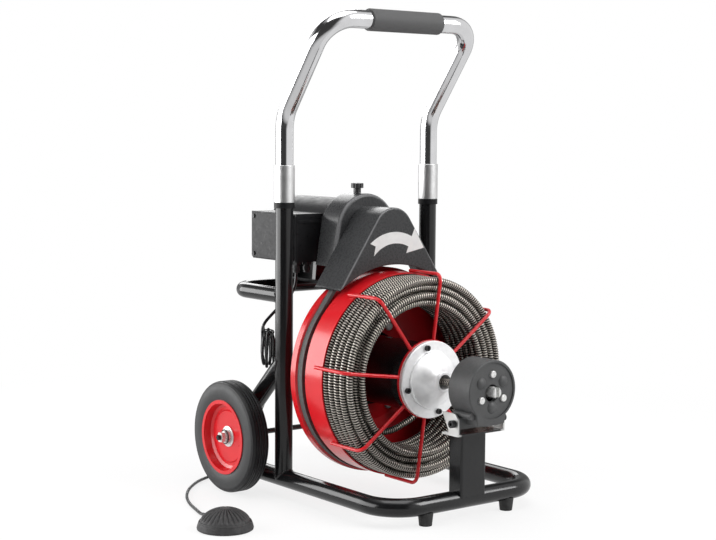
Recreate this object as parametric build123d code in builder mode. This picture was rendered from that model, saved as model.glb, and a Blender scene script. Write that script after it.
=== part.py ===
from build123d import *
from math import acos, asin, atan2, cos, degrees, pi, radians, sin, sqrt, tan
import os

os.makedirs("parts", exist_ok=True)

# Overall sizes of the frame
half_track = 167.0
frame_od = 32.0
frame_wall = 2.0
front_y = -311.0
foot_height = 18.0
front_corner_r = 65.0
rear_bend_r = 60.0
brace_meet_z = 248.0
brace_slope = 0.975
spigot_top_z = 566.0

# Rear bumper
bumper_od = 28.0
bumper_z = 365.0
bumper_y = 165.0
bumper_corner_r = 48.0

# Wheels and axle
wheel_r = 102.0
wheel_width = 40.0
wheel_gap = 19.0
axle_back = 19.0
rim_r = 68.0
axle_d = 10.0
hub_r = 19.0

# Handle
handle_od = 32.0
handle_bend_z = 685.0
handle_rise = 168.0
handle_reach = 127.0
handle_bend_r = 70.0
handle_corner_r = 55.0
grip_od = 39.0
grip_length = 160.0
sleeve_od = 37.0
sleeve_bottom_z = 533.0
sleeve_top_z = 599.0
ring_height = 10.0

# Drum
axis_z = 226.3
drum_r = 188.0
band_step = 5.0
groove_step = 13.0
sheet = 2.5
back_y = -35.5
band_front_y = -137.0
belt_y = -73.0
core_r = 62.0
disc_r = 70.0
disc_back_y = -204.5
disc_thick = 4.0
wire_d = 6.5
wire_count = 8
wire_start = 37.0
wire_root_y = -120.0
wire_bend_r = 14.0
bolt_circle_r = 84.6
shaft_d = 25.0

# Cone hub on the front of the cage
cone_flange_r = 68.6
cone_flange = 8.0
cone_step_r = 51.6
cone_nose_r = 18.0
cone_nose_y = -250.0
cone_bore_r = 13.4
cone_screw_r = 59.0

# Drain cable
cable_d = 12.7
layer_gap = 0.6
turn_gap = 3.2
coil_room = 3.0
coil_front_y = -203.0
coil_layers = 4
coil_half_turns = 11
coil_end_angle = -82.0
tip_d = 18.5
tip_front_y = -385.0

# Motor and belt drive
motor_z = 480.0
motor_r = 56.0
motor_front_y = 44.0
motor_back_y = 180.0
motor_end_y = 219.0
motor_shaft_d = 14.0
belt_width = 13.0
belt_depth = 8.0
belt_sink = 4.0
belt_pulley_r = 33.0

# Belt guard and motor shroud
guard_front_y = -106.0
guard_back_y = -28.0
shroud_back_y = 27.0
guard_apex_r = 44.0
shroud_r = 66.5
guard_foot_x = 121.0
shroud_foot_x = 86.0
guard_arch_gap = 7.0
guard_wall = 2.5

# Control box
box_x = -118.0
box_width = 60.0
box_front_y = 34.0
box_length = 144.0
box_bottom_z = 420.0
box_height = 89.0

# Feed head and its post
head_z = 228.0
head_r = 52.5
head_front_y = -373.0
head_back_y = -320.0
head_screw_r = 28.3
head_skirt_z = 168.4
mouth_drop = 2.5
roller_r = 17.0
post_width = 56.0
post_depth = 34.0
post_top_z = 151.0
saddle_half = 50.0

# Foot pedal and air hose
pedal_x = -378.0
pedal_y = -135.0
pedal_r = 47.5
pedal_height = 37.0
pedal_stroke = 8.0
hose_d = 5.6
hank_x = -169.7
hank_y = 48.0
hank_z = 265.6
hank_turn = 37.5

# Clearances
running = 0.05
slip = 0.3
gap = 0.5

# Sizes that follow from those above
tube_r = frame_od / 2
base_z = foot_height + tube_r
rear_corner_y = (brace_meet_z - base_z) / brace_slope
brace_turn = pi - atan2(brace_slope, 1.0)
bend_centre_y = rear_corner_y - rear_bend_r * tan(brace_turn / 2)
bend_centre_z = base_z + rear_bend_r
disc_front_y = disc_back_y - disc_thick
plate_front_y = back_y - sheet
handle_top_z = handle_bend_z + handle_rise
shaft_r = shaft_d / 2
wheel_mid_x = half_track + tube_r + wheel_gap + wheel_width / 2
wheel_y = bend_centre_y + axle_back
band_r = drum_r - band_step
groove_r = drum_r - groove_step
belt_drum_r = drum_r - belt_sink
coil_outer_r = band_r - coil_room
guard_arch_r = drum_r + guard_arch_gap
cable_r = cable_d / 2
layer_pitch = cable_d + layer_gap
turn_pitch = cable_d + turn_gap
front_strand_y = coil_front_y + cable_r
rear_strand_y = front_strand_y + turn_pitch * coil_half_turns / 2

# The machine is drawn with its uprights at y = 0 and set down with the middle of its length at the origin
home = Location((0, -(tip_front_y + motor_end_y) / 2, 0))


# Plane square to the drum axis at depth y, drawn in X and Z, extruding to the front
def across(y):
    return Plane.XZ.offset(-y)


# Plane through the middle of the machine for profiles in depth y and radius about a height
def turning(z):
    return Plane(origin=(0, 0, z), x_dir=(0, 1, 0), z_dir=(1, 0, 0))


# Line along Y at a height and, for the pulley, the motor shaft
def lengthwise(z, x=0):
    return Axis((x, 0, z), (0, 1, 0))


# Joint point and middle tangent of the two arcs between a start and an end with their tangents
def biarc(p0, t0, p1, t1):
    v = p1 - p0
    t = t0 + t1
    spread = 2 * (1 - t0.dot(t1))
    if spread < 1e-9:
        reach = v.dot(v) / (2 * v.dot(t))
    else:
        reach = (sqrt(v.dot(t) ** 2 + spread * v.dot(v)) - v.dot(t)) / spread
    q0 = p0 + t0 * reach
    q1 = p1 - t1 * reach
    return (q0 + q1) * 0.5, (q1 - q0).normalized()


# Corner radii of a cord: a little under half the shorter run over the tangent of half the turn
def cord_radii(points):
    radii = []
    for a, b, c in zip(points, points[1:], points[2:]):
        u = Vector(*b) - Vector(*a)
        w = Vector(*c) - Vector(*b)
        turn = acos(max(-1.0, min(1.0, u.normalized().dot(w.normalized()))))
        radii.append(0.45 * min(u.length, w.length) / tan(turn / 2))
    return radii


# Least gap between the loops of a wound cord, from points spaced a quarter of its thickness along it
def least_gap(wire, thick):
    points = []
    for edge in wire.edges():
        steps = int(4 * edge.length / thick) + 1
        points += [edge @ (k / steps) for k in range(steps)]
    cells = {}
    least = 4 * thick
    for k, p in enumerate(points):
        cell = (p.X // (2 * thick), p.Y // (2 * thick), p.Z // (2 * thick))
        for i in (-1, 0, 1):
            for j in (-1, 0, 1):
                for m in (-1, 0, 1):
                    for other in cells.get((cell[0] + i, cell[1] + j, cell[2] + m), ()):
                        if k - other > 16:
                            least = min(least, (p - points[other]).length)
        cells.setdefault(cell, []).append(k)
    return least - thick


# Base tube: brace, rear bend, side, front bar and back again, as one bent tube
with BuildPart() as base_tube:
    with BuildLine() as base_path:
        FilletPolyline(
            (-half_track, 0, brace_meet_z),
            (-half_track, rear_corner_y, base_z),
            (-half_track, front_y, base_z),
            (half_track, front_y, base_z),
            (half_track, rear_corner_y, base_z),
            (half_track, 0, brace_meet_z),
            radius=[rear_bend_r, front_corner_r, front_corner_r, rear_bend_r],
        )
    with BuildSketch(Plane(origin=base_path.line @ 0, z_dir=base_path.line % 0)):
        Circle(tube_r)
        Circle(tube_r - frame_wall, mode=Mode.SUBTRACT)
    sweep()
    # The braces end in a cope round the uprights
    with Locations((-half_track, 0, brace_meet_z), (half_track, 0, brace_meet_z)):
        Cylinder(tube_r, 6 * tube_r, mode=Mode.SUBTRACT)
base_tube.part.label = "base_tube"
export_step(base_tube.part.moved(home), "parts/base_tube.step")

# Uprights, coped on the side tubes, open spigots at the top: one drawing, set down at both sides
with BuildPart() as upright:
    with BuildSketch(Plane.XY.offset(base_z)):
        Circle(tube_r)
        Circle(tube_r - frame_wall, mode=Mode.SUBTRACT)
    extrude(amount=spigot_top_z - base_z)
    with Locations((0, 0, base_z)):
        Cylinder(tube_r, 4 * tube_r, rotation=(90, 0, 0), mode=Mode.SUBTRACT)
for side, name in ((-1, "left_upright"), (1, "right_upright")):
    placed_upright = upright.part.moved(Pos(side * half_track, 0, 0))
    placed_upright.label = name
    export_step(placed_upright.moved(home), f"parts/{name}.step")

# Rear bumper behind the motor
with BuildPart() as rear_bumper:
    with BuildLine() as bumper_path:
        FilletPolyline(
            (-half_track, 0, bumper_z),
            (-half_track, bumper_y, bumper_z),
            (half_track, bumper_y, bumper_z),
            (half_track, 0, bumper_z),
            radius=bumper_corner_r,
        )
    with BuildSketch(Plane(origin=bumper_path.line @ 0, z_dir=bumper_path.line % 0)):
        Circle(bumper_od / 2)
        Circle(bumper_od / 2 - frame_wall, mode=Mode.SUBTRACT)
    sweep()
    with Locations((-half_track, 0, bumper_z), (half_track, 0, bumper_z)):
        Cylinder(tube_r, 4 * tube_r, mode=Mode.SUBTRACT)
rear_bumper.part.label = "rear_bumper"
export_step(rear_bumper.part.moved(home), "parts/rear_bumper.step")

# Gusset plates that fill the rear bends and carry the axle
gusset = 6.0
gusset_r = rear_bend_r - tube_r
gusset_cut = 5.0
with BuildPart() as axle_gussets:
    for side in (-1, 1):
        with BuildSketch(Plane.YZ.offset(side * half_track - gusset / 2)):
            with Locations((bend_centre_y, bend_centre_z)):
                Circle(gusset_r)
            with Locations((bend_centre_y + gusset_cut - gusset_r, bend_centre_z)):
                Rectangle(2 * gusset_r, 2 * gusset_r, mode=Mode.SUBTRACT)
            with Locations((wheel_y, wheel_r)):
                Circle(axle_d / 2, mode=Mode.SUBTRACT)
        extrude(amount=gusset)
axle_gussets.part.label = "axle_gussets"
export_step(axle_gussets.part.moved(home), "parts/axle_gussets.step")

# Axle rod with chamfered ends
hub_out = 13.0
hub_in = wheel_width / 2 + 3.0
washer = 2.0
nut = 8.0
axle_end_x = wheel_mid_x + hub_out + gap + washer + nut + 5.5
with BuildPart() as axle:
    with Locations((0, wheel_y, wheel_r)):
        Cylinder(axle_d / 2, 2 * axle_end_x, rotation=(0, 90, 0))
    chamfer(axle.faces().filter_by(Axis.X).edges(), 1.0)
axle.part.label = "axle"
export_step(axle.part.moved(home), "parts/axle.step")

# Axle nuts with their washers outside the hubs, and the spacers inside them
nut_across = 17.0
with BuildPart() as axle_nuts:
    for side in (-1, 1):
        seat = side * (wheel_mid_x + hub_out + gap)
        with BuildSketch(Plane.YZ.offset(seat)):
            with Locations((wheel_y, wheel_r)):
                Circle(nut_across * 0.62)
                Circle(axle_d / 2, mode=Mode.SUBTRACT)
        extrude(amount=side * washer)
        with BuildSketch(Plane.YZ.offset(seat + side * washer)):
            with Locations((wheel_y, wheel_r)):
                RegularPolygon(nut_across / 2, 6, major_radius=False)
                Circle(axle_d / 2, mode=Mode.SUBTRACT)
        extrude(amount=side * nut)
        inner = side * (wheel_mid_x - hub_in - gap)
        with BuildSketch(Plane.YZ.offset(inner)):
            with Locations((wheel_y, wheel_r)):
                Circle(axle_d / 2 + 3.0)
                Circle(axle_d / 2, mode=Mode.SUBTRACT)
        extrude(amount=side * (half_track + gusset / 2) - inner)
axle_nuts.part.label = "axle_nuts"
export_step(axle_nuts.part.moved(home), "parts/axle_nuts.step")

# Wheels: rubber tyre with ribs on the tread, pressed rim, zinc hub
rim_bed_r = rim_r - 4.0
rim_lip = 2.0
shoulder_r = 9.0
shoulder_low_r = wheel_r - shoulder_r
wall_mid_r = (rim_r + shoulder_low_r) / 2
rib_count = 7
rib_depth = 1.6
for side, word in ((-1, "left"), (1, "right")):
    wheel_plane = Plane(origin=(side * wheel_mid_x, wheel_y, wheel_r), x_dir=(side, 0, 0), z_dir=(0, -side, 0))
    wheel_axis = Axis((0, wheel_y, wheel_r), (1, 0, 0))
    half = wheel_width / 2
    with BuildPart() as tyre:
        with BuildSketch(wheel_plane):
            with BuildLine():
                Polyline(
                    (-half + rim_lip, rim_bed_r),
                    (half - rim_lip, rim_bed_r),
                    (half - rim_lip, rim_r),
                    (half - rim_lip, rim_r + 1.0),
                )
                ThreePointArc((half - rim_lip, rim_r + 1.0), (half, wall_mid_r), (half - 1.0, shoulder_low_r))
                RadiusArc((half - 1.0, shoulder_low_r), (half - shoulder_r, wheel_r), -shoulder_r)
                Line((half - shoulder_r, wheel_r), (-half + shoulder_r, wheel_r))
                RadiusArc((-half + shoulder_r, wheel_r), (-half + 1.0, shoulder_low_r), -shoulder_r)
                ThreePointArc((-half + 1.0, shoulder_low_r), (-half, wall_mid_r), (-half + rim_lip, rim_r + 1.0))
                Polyline(
                    (-half + rim_lip, rim_r + 1.0),
                    (-half + rim_lip, rim_r),
                    (-half + rim_lip, rim_bed_r),
                )
            make_face()
            tread = wheel_width - 1.6 * shoulder_r
            with GridLocations(tread / rib_count, 1, rib_count, 1):
                with Locations((0, wheel_r)):
                    Rectangle(1.2, 2 * rib_depth, mode=Mode.SUBTRACT)
        revolve(axis=wheel_axis)
    tyre.part.label = f"{word}_tyre"
    export_step(tyre.part.moved(home), f"parts/{word}_tyre.step")

    # Rim: two lips, bed, deep dish with a pressed step and a seat for the hub
    web = hub_out - 9.5
    with BuildPart() as rim:
        with BuildSketch(wheel_plane):
            with BuildLine():
                Polyline(
                    (-half, rim_bed_r - sheet),
                    (-half, rim_r),
                    (-half + rim_lip, rim_r),
                    (-half + rim_lip, rim_bed_r),
                    (half - rim_lip, rim_bed_r),
                    (half - rim_lip, rim_r),
                    (half, rim_r),
                    (half, rim_bed_r - sheet),
                    (web + 3.0, rim_bed_r - 2 * sheet),
                    (web, rim_bed_r - 4 * sheet),
                    (web, rim_bed_r - 6 * sheet),
                    (web + 2.0, rim_bed_r - 7 * sheet),
                    (web + 2.0, hub_r - 3.0),
                    (web + 2.0 - sheet, hub_r - 3.0),
                    (web + 2.0 - sheet, rim_bed_r - 6.8 * sheet),
                    (web - sheet, rim_bed_r - 5.8 * sheet),
                    (web - sheet, rim_bed_r - 3.8 * sheet),
                    (web - sheet, rim_bed_r - sheet),
                    close=True,
                )
            make_face()
        revolve(axis=wheel_axis)
    rim.part.label = f"{word}_rim"
    export_step(rim.part.moved(home), f"parts/{word}_rim.step")

    # Hub: bearing plate against the web, barrel through it, running on the axle
    with BuildPart() as wheel_hub:
        with BuildSketch(wheel_plane):
            with BuildLine():
                Polyline(
                    (-hub_in, axle_d / 2 + running),
                    (-hub_in, hub_r - 6.0),
                    (-hub_in + 12.0, hub_r - 3.0),
                    (web + 2.0, hub_r - 3.0),
                    (web + 2.0, hub_r),
                    (web + 3.5, hub_r),
                    (web + 4.5, hub_r - 7.0),
                    (hub_out, hub_r - 8.0),
                    (hub_out, axle_d / 2 + running),
                    close=True,
                )
            make_face()
        revolve(axis=wheel_axis)
    wheel_hub.part.label = f"{word}_wheel_hub"
    export_step(wheel_hub.part.moved(home), f"parts/{word}_wheel_hub.step")

# Rubber feet under the front bar, hollowed to the tube
foot_x = 92.0
foot_top_r = 13.5
foot_bottom_r = 11.0
with BuildPart() as front_feet:
    for side in (-1, 1):
        with BuildSketch(Plane.XY):
            with Locations((side * foot_x, front_y)):
                Circle(foot_bottom_r)
        with BuildSketch(Plane.XY.offset(foot_height + 5.0)):
            with Locations((side * foot_x, front_y)):
                Circle(foot_top_r)
        loft()
    with Locations((0, front_y, base_z)):
        Cylinder(tube_r, 3 * foot_x, rotation=(0, 90, 0), mode=Mode.SUBTRACT)
front_feet.part.label = "front_feet"
export_step(front_feet.part.moved(home), "parts/front_feet.step")

# Bearing beam between the uprights, with the bearing housing and the mast up to the motor plate
beam_height = 50.0
beam_depth = 30.0
mast_width = 60.0
bearing_od = 52.0
bearing_width = 15.0
housing_front_y = -24.0
housing_back_y = 30.0
housing_od = bearing_od + 10.0
plate_z = bumper_z + bumper_od / 2
with BuildPart() as bearing_beam:
    with BuildSketch(Plane.YZ.offset(-half_track)):
        with Locations((0, axis_z)):
            RectangleRounded(beam_depth, beam_height, 4.0)
    extrude(amount=2 * half_track)
    with BuildSketch(Plane.XY.offset(axis_z)):
        RectangleRounded(mast_width, beam_depth, 4.0)
    extrude(amount=plate_z - axis_z)
    with BuildSketch(across(housing_back_y)):
        with Locations((0, axis_z)):
            Circle(housing_od / 2)
    extrude(amount=housing_back_y - housing_front_y)
    with BuildSketch(across(housing_back_y)):
        with Locations((0, axis_z)):
            Circle(bearing_od / 2)
    extrude(amount=housing_back_y - housing_front_y, mode=Mode.SUBTRACT)
    # Beam ends coped round the uprights and the tops of the braces
    brace_tilt = degrees(atan2(1.0, brace_slope))
    with Locations((-half_track, 0, brace_meet_z), (half_track, 0, brace_meet_z)):
        Cylinder(tube_r, 4 * beam_height, mode=Mode.SUBTRACT)
        Cylinder(tube_r, 4 * beam_height, rotation=(brace_tilt, 0, 0), mode=Mode.SUBTRACT)
bearing_beam.part.label = "bearing_beam"
export_step(bearing_beam.part.moved(home), "parts/bearing_beam.step")

# Two ball bearings as plain rings in the housing
with BuildPart() as drum_bearings:
    for start in (housing_back_y - 2.0, housing_front_y + 2.0 + bearing_width):
        with BuildSketch(across(start)):
            with Locations((0, axis_z)):
                Circle(bearing_od / 2)
                Circle(shaft_r + running, mode=Mode.SUBTRACT)
        extrude(amount=bearing_width)
drum_bearings.part.label = "drum_bearings"
export_step(drum_bearings.part.moved(home), "parts/drum_bearings.step")

# Motor plate on the bumper and the mast, with two cradles under the motor
plate_thick = 5.0
plate_half = 60.0
cradle_thick = 10.0
with BuildPart() as motor_plate:
    with BuildSketch(Plane.XY.offset(plate_z)):
        with Locations((0, (bumper_y + bumper_od / 2 - beam_depth / 2) / 2)):
            RectangleRounded(2 * plate_half, bumper_y + bumper_od / 2 + beam_depth / 2, 8.0)
    extrude(amount=plate_thick)
    for y in (motor_front_y + 30.0, motor_back_y - 20.0):
        with BuildSketch(across(y)):
            with BuildLine():
                Polyline(
                    (-plate_half + 8.0, plate_z + plate_thick),
                    (plate_half - 8.0, plate_z + plate_thick),
                    (plate_half - 14.0, motor_z - motor_r * 0.5),
                    (-plate_half + 14.0, motor_z - motor_r * 0.5),
                    close=True,
                )
            make_face()
            with Locations((0, motor_z)):
                Circle(motor_r, mode=Mode.SUBTRACT)
        extrude(amount=cradle_thick)
motor_plate.part.label = "motor_plate"
export_step(motor_plate.part.moved(home), "parts/motor_plate.step")

# Motor body with cooling ribs below and a flat pad for the control box
with BuildPart() as motor_body:
    with BuildSketch(across(motor_back_y)):
        with Locations((0, motor_z)):
            Circle(motor_r)
        with Locations((-motor_r + 6.0, box_bottom_z + box_height / 2 + 10.0)):
            Rectangle(2 * (box_x + box_width + motor_r - 6.0) * -1, 40.0)
    extrude(amount=motor_back_y - motor_front_y)
motor_body.part.label = "motor_body"
export_step(motor_body.part.moved(home), "parts/motor_body.step")

# Motor front shield, which carries the shroud
shield_r = shroud_r - guard_wall
with BuildPart() as motor_shield:
    with BuildSketch(turning(motor_z)):
        with BuildLine():
            Polyline(
                (motor_front_y, motor_shaft_d / 2 + running),
                (motor_front_y, motor_r),
                (box_front_y, motor_r),
                (shroud_back_y, shield_r),
                (shroud_back_y - 30.0, shield_r),
                (shroud_back_y - 36.0, 40.0),
                (shroud_back_y - 42.0, 18.0),
                (shroud_back_y - 42.0, motor_shaft_d / 2 + running),
                close=True,
            )
        make_face()
    revolve(axis=lengthwise(motor_z))
motor_shield.part.label = "motor_shield"
export_step(motor_shield.part.moved(home), "parts/motor_shield.step")

# Fan cover over the rear of the motor, domed, with a ring of slots
with BuildPart() as fan_cover:
    with BuildSketch(turning(motor_z)):
        with BuildLine():
            Polyline((motor_back_y, 0), (motor_back_y, motor_r), (motor_end_y - 16.0, motor_r))
            RadiusArc((motor_end_y - 16.0, motor_r), (motor_end_y, motor_r - 16.0), 16.0)
            Polyline((motor_end_y, motor_r - 16.0), (motor_end_y, 0), (motor_back_y, 0))
        make_face()
    revolve(axis=lengthwise(motor_z))
    with BuildSketch(across(motor_end_y)):
        with Locations((0, motor_z)):
            with PolarLocations(27.0, 12):
                SlotOverall(18.0, 5.0)
    extrude(amount=5.0, mode=Mode.SUBTRACT)
fan_cover.part.label = "fan_cover"
export_step(fan_cover.part.moved(home), "parts/fan_cover.step")

# Motor shaft, and the pulley on it
pulley_half = belt_width / 2 + 4.0
with BuildPart() as motor_shaft:
    with BuildSketch(across(motor_front_y - 4.0)):
        with Locations((0, motor_z)):
            Circle(motor_shaft_d / 2)
    extrude(amount=motor_front_y - 4.0 - (belt_y - pulley_half - 4.0))
    chamfer(motor_shaft.faces().sort_by(Axis.Y)[0].edges(), 1.0)
motor_shaft.part.label = "motor_shaft"
export_step(motor_shaft.part.moved(home), "parts/motor_shaft.step")

# V groove: the belt's section with room all round
groove_top = belt_width / 2 + slip + 0.4
groove_low = belt_width / 2 - belt_depth * tan(radians(17.0)) + slip
pulley_r = belt_pulley_r + 1.0
with BuildPart() as motor_pulley:
    with BuildSketch(turning(motor_z)):
        with BuildLine():
            Polyline(
                (belt_y + pulley_half, motor_shaft_d / 2),
                (belt_y + pulley_half, pulley_r),
                (belt_y + groove_top, pulley_r),
                (belt_y + groove_low, belt_pulley_r - belt_depth - gap),
                (belt_y - groove_low, belt_pulley_r - belt_depth - gap),
                (belt_y - groove_top, pulley_r),
                (belt_y - pulley_half, pulley_r),
                (belt_y - pulley_half, motor_shaft_d / 2),
                close=True,
            )
        make_face()
    revolve(axis=lengthwise(motor_z))
motor_pulley.part.label = "motor_pulley"
export_step(motor_pulley.part.moved(home), "parts/motor_pulley.step")

# V-belt round the drum groove and the pulley: its V section carried along two runs and two arcs
belt_span = motor_z - axis_z
lean = asin((belt_drum_r - belt_pulley_r) / belt_span)
drum_touch = (belt_drum_r * cos(lean), axis_z + belt_drum_r * sin(lean))
pulley_touch = (belt_pulley_r * cos(lean), motor_z + belt_pulley_r * sin(lean))
with BuildPart() as v_belt:
    with BuildLine() as belt_path:
        Line((-drum_touch[0], belt_y, drum_touch[1]), (-pulley_touch[0], belt_y, pulley_touch[1]))
        ThreePointArc(
            (-pulley_touch[0], belt_y, pulley_touch[1]),
            (0, belt_y, motor_z + belt_pulley_r),
            (pulley_touch[0], belt_y, pulley_touch[1]),
        )
        Line((pulley_touch[0], belt_y, pulley_touch[1]), (drum_touch[0], belt_y, drum_touch[1]))
        ThreePointArc(
            (drum_touch[0], belt_y, drum_touch[1]),
            (0, belt_y, axis_z - belt_drum_r),
            (-drum_touch[0], belt_y, drum_touch[1]),
        )
    belt_wire = belt_path.wire()
    with BuildSketch(Plane(origin=belt_wire @ 0, x_dir=(0, 1, 0), z_dir=belt_wire % 0)):
        with BuildLine():
            low = belt_width / 2 - belt_depth * tan(radians(17.0))
            Polyline(
                (-belt_width / 2, 0),
                (belt_width / 2, 0),
                (low, -belt_depth),
                (-low, -belt_depth),
                close=True,
            )
        make_face()
    sweep(path=belt_wire)
v_belt.part.label = "v_belt"
export_step(v_belt.part.moved(home), "parts/v_belt.step")

# Drum shell: back plate, cone, rear lip, belt groove and band
pilot_r = 22.0
flat_r = 98.0
lip_back_y = -51.0
band_back_y = -88.0


# Rear wall of the belt groove, parallel to the belt's side
def groove_wall(r):
    return belt_y + belt_width / 2 + gap + (r - belt_drum_r) * tan(radians(17.0))


with BuildPart() as drum_shell:
    with BuildSketch(turning(axis_z)):
        with BuildLine():
            Polyline(
                (back_y, pilot_r),
                (back_y, flat_r),
                (lip_back_y, drum_r - 19.0),
                (lip_back_y, drum_r),
                (groove_wall(drum_r), drum_r),
                (groove_wall(groove_r), groove_r),
                (band_back_y + 5.0, groove_r),
                (band_back_y, band_r),
                (band_front_y, band_r),
                (band_front_y, band_r - sheet),
                (band_back_y - 1.2, band_r - sheet),
                (band_back_y + 3.8, groove_r - sheet),
                (groove_wall(groove_r - sheet) + sheet, groove_r - sheet),
                (groove_wall(drum_r - sheet) + sheet, drum_r - sheet),
                (lip_back_y - sheet, drum_r - sheet),
                (lip_back_y - sheet, drum_r - 17.0),
                (plate_front_y, flat_r + 0.5),
                (plate_front_y, pilot_r),
                close=True,
            )
        make_face()
    revolve(axis=lengthwise(axis_z))
    with BuildSketch(across(back_y + gap)):
        with Locations((0, axis_z)):
            with PolarLocations(bolt_circle_r, 3, 60.0):
                Circle(4.0)
    extrude(amount=2 * sheet, mode=Mode.SUBTRACT)
drum_shell.part.label = "drum_shell"
export_step(drum_shell.part.moved(home), "parts/drum_shell.step")

# Drum hub: flange behind the back plate, pilot and shaft in one
hub_flange = 6.0
collar = 8.0
with BuildPart() as drum_hub:
    with BuildSketch(turning(axis_z)):
        with BuildLine():
            Polyline(
                (plate_front_y, 0),
                (plate_front_y, pilot_r),
                (back_y, pilot_r),
                (back_y, flat_r - 3.0),
                (back_y + hub_flange, flat_r - 3.0),
                (back_y + hub_flange, pilot_r),
                (housing_front_y - gap, shaft_r + 4.0),
                (housing_front_y - gap, shaft_r),
                (housing_back_y + gap + collar + 3.0, shaft_r),
                (housing_back_y + gap + collar + 3.0, 0),
                close=True,
            )
        make_face()
    revolve(axis=lengthwise(axis_z))
    with BuildSketch(across(back_y + hub_flange)):
        with Locations((0, axis_z)):
            with PolarLocations(bolt_circle_r, 3, 60.0):
                Circle(4.0)
    extrude(amount=hub_flange, mode=Mode.SUBTRACT)
drum_hub.part.label = "drum_hub"
export_step(drum_hub.part.moved(home), "parts/drum_hub.step")

# Collar that holds the shaft behind the rear bearing
with BuildPart() as shaft_collar:
    with BuildSketch(across(housing_back_y + gap + collar)):
        with Locations((0, axis_z)):
            Circle(shaft_r + 8.0)
            Circle(shaft_r, mode=Mode.SUBTRACT)
    extrude(amount=collar)
    chamfer(shaft_collar.edges().filter_by(GeomType.CIRCLE).sort_by(SortBy.RADIUS)[-2:], 1.0)
shaft_collar.part.label = "shaft_collar"
export_step(shaft_collar.part.moved(home), "parts/shaft_collar.step")

# Three round-headed bolts through back plate and hub flange
with BuildPart() as drum_bolts:
    with BuildSketch(across(back_y + hub_flange)):
        with Locations((0, axis_z)):
            with PolarLocations(bolt_circle_r, 3, 60.0):
                Circle(4.0)
    extrude(amount=hub_flange + sheet)
    with BuildSketch(across(plate_front_y)):
        with Locations((0, axis_z)):
            with PolarLocations(bolt_circle_r, 3, 60.0):
                Circle(8.0)
    extrude(amount=5.0)
    fillet(drum_bolts.faces().sort_by(Axis.Y)[:3].edges(), 3.0)
drum_bolts.part.label = "drum_bolts"
export_step(drum_bolts.part.moved(home), "parts/drum_bolts.step")

# Core inside the drum, with a rear lip and a window where the cable goes in
core_wall = 3.0
window_angle = coil_end_angle + 66.0
with BuildPart() as drum_core:
    with BuildSketch(turning(axis_z)):
        with BuildLine():
            Polyline(
                (plate_front_y, core_r - core_wall),
                (plate_front_y, core_r + 6.0),
                (plate_front_y - 4.0, core_r + 6.0),
                (plate_front_y - 7.0, core_r),
                (disc_back_y, core_r),
                (disc_back_y, core_r - core_wall),
                close=True,
            )
        make_face()
    revolve(axis=lengthwise(axis_z))
    window = Location((0, 0, axis_z)) * Rot(0, -window_angle, 0)
    with Locations(window * Location((core_r, rear_strand_y, 0))):
        Box(60.0, 44.0, 78.0, mode=Mode.SUBTRACT)
drum_core.part.label = "drum_core"
export_step(drum_core.part.moved(home), "parts/drum_core.step")


# Plane through the drum axis at an angle, drawn in radius and in depth to the front
def spoke_plane(angle):
    c, s = cos(radians(angle)), sin(radians(angle))
    return Plane(origin=(0, 0, axis_z), x_dir=(c, 0, s), z_dir=(s, 0, -c))


# Wire cage: eight bent wires on the band, welded to the front disc
wire_r = band_r + wire_d / 2 - 0.4
wire_mid_y = disc_back_y - disc_thick / 2
with BuildPart() as drum_cage:
    with BuildSketch(across(disc_back_y)):
        with Locations((0, axis_z)):
            Circle(disc_r)
            Circle(cone_bore_r, mode=Mode.SUBTRACT)
    extrude(amount=disc_thick)
    for k in range(wire_count):
        with BuildLine(spoke_plane(wire_start + k * 360.0 / wire_count)) as wire_path:
            FilletPolyline(
                (wire_r, -wire_root_y),
                (wire_r, -wire_mid_y),
                (disc_r - 1.0, -wire_mid_y),
                radius=wire_bend_r,
            )
        with BuildSketch(Plane(origin=wire_path.line @ 0, z_dir=wire_path.line % 0)):
            Circle(wire_d / 2)
        sweep()
    with BuildSketch(across(wire_root_y + wire_d)):
        with Locations((0, axis_z)):
            Circle(band_r)
    extrude(amount=wire_root_y + wire_d - band_front_y, mode=Mode.SUBTRACT)
    with BuildSketch(across(disc_back_y + gap)):
        with Locations((0, axis_z)):
            with PolarLocations(cone_screw_r, 4, 13.5):
                Circle(3.0)
    extrude(amount=2 * disc_thick, mode=Mode.SUBTRACT)
drum_cage.part.label = "drum_cage"
export_step(drum_cage.part.moved(home), "parts/drum_cage.step")

# Cone hub: flange, step, hollow cone and nose
flange_front_y = disc_front_y - cone_flange
with BuildPart() as cone_hub:
    with BuildSketch(turning(axis_z)):
        with BuildLine():
            cone_root = (flange_front_y - 3.5, cone_step_r - 2.5)
            cone_end = (cone_nose_y + 5.0, cone_nose_r)
            sag = (
                (cone_root[0] + cone_end[0]) / 2 + 3.0,
                (cone_root[1] + cone_end[1]) / 2 - 3.0,
            )
            Polyline(
                cone_end,
                (cone_nose_y + 1.0, cone_nose_r),
                (cone_nose_y, cone_nose_r - 1.0),
                (cone_nose_y, cone_bore_r),
                (disc_front_y, cone_bore_r),
                (disc_front_y, cone_flange_r),
                (flange_front_y + 1.5, cone_flange_r),
                (flange_front_y, cone_flange_r - 1.5),
                (flange_front_y, cone_step_r),
                (flange_front_y - 3.5, cone_step_r - 0.8),
                cone_root,
            )
            ThreePointArc(cone_root, sag, cone_end)
        make_face()
    revolve(axis=lengthwise(axis_z))
    with BuildSketch(across(disc_front_y + gap)):
        with Locations((0, axis_z)):
            with PolarLocations(cone_screw_r, 4, 13.5):
                Circle(3.0)
    extrude(amount=2 * cone_flange, mode=Mode.SUBTRACT)
cone_hub.part.label = "cone_hub"
export_step(cone_hub.part.moved(home), "parts/cone_hub.step")

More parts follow.
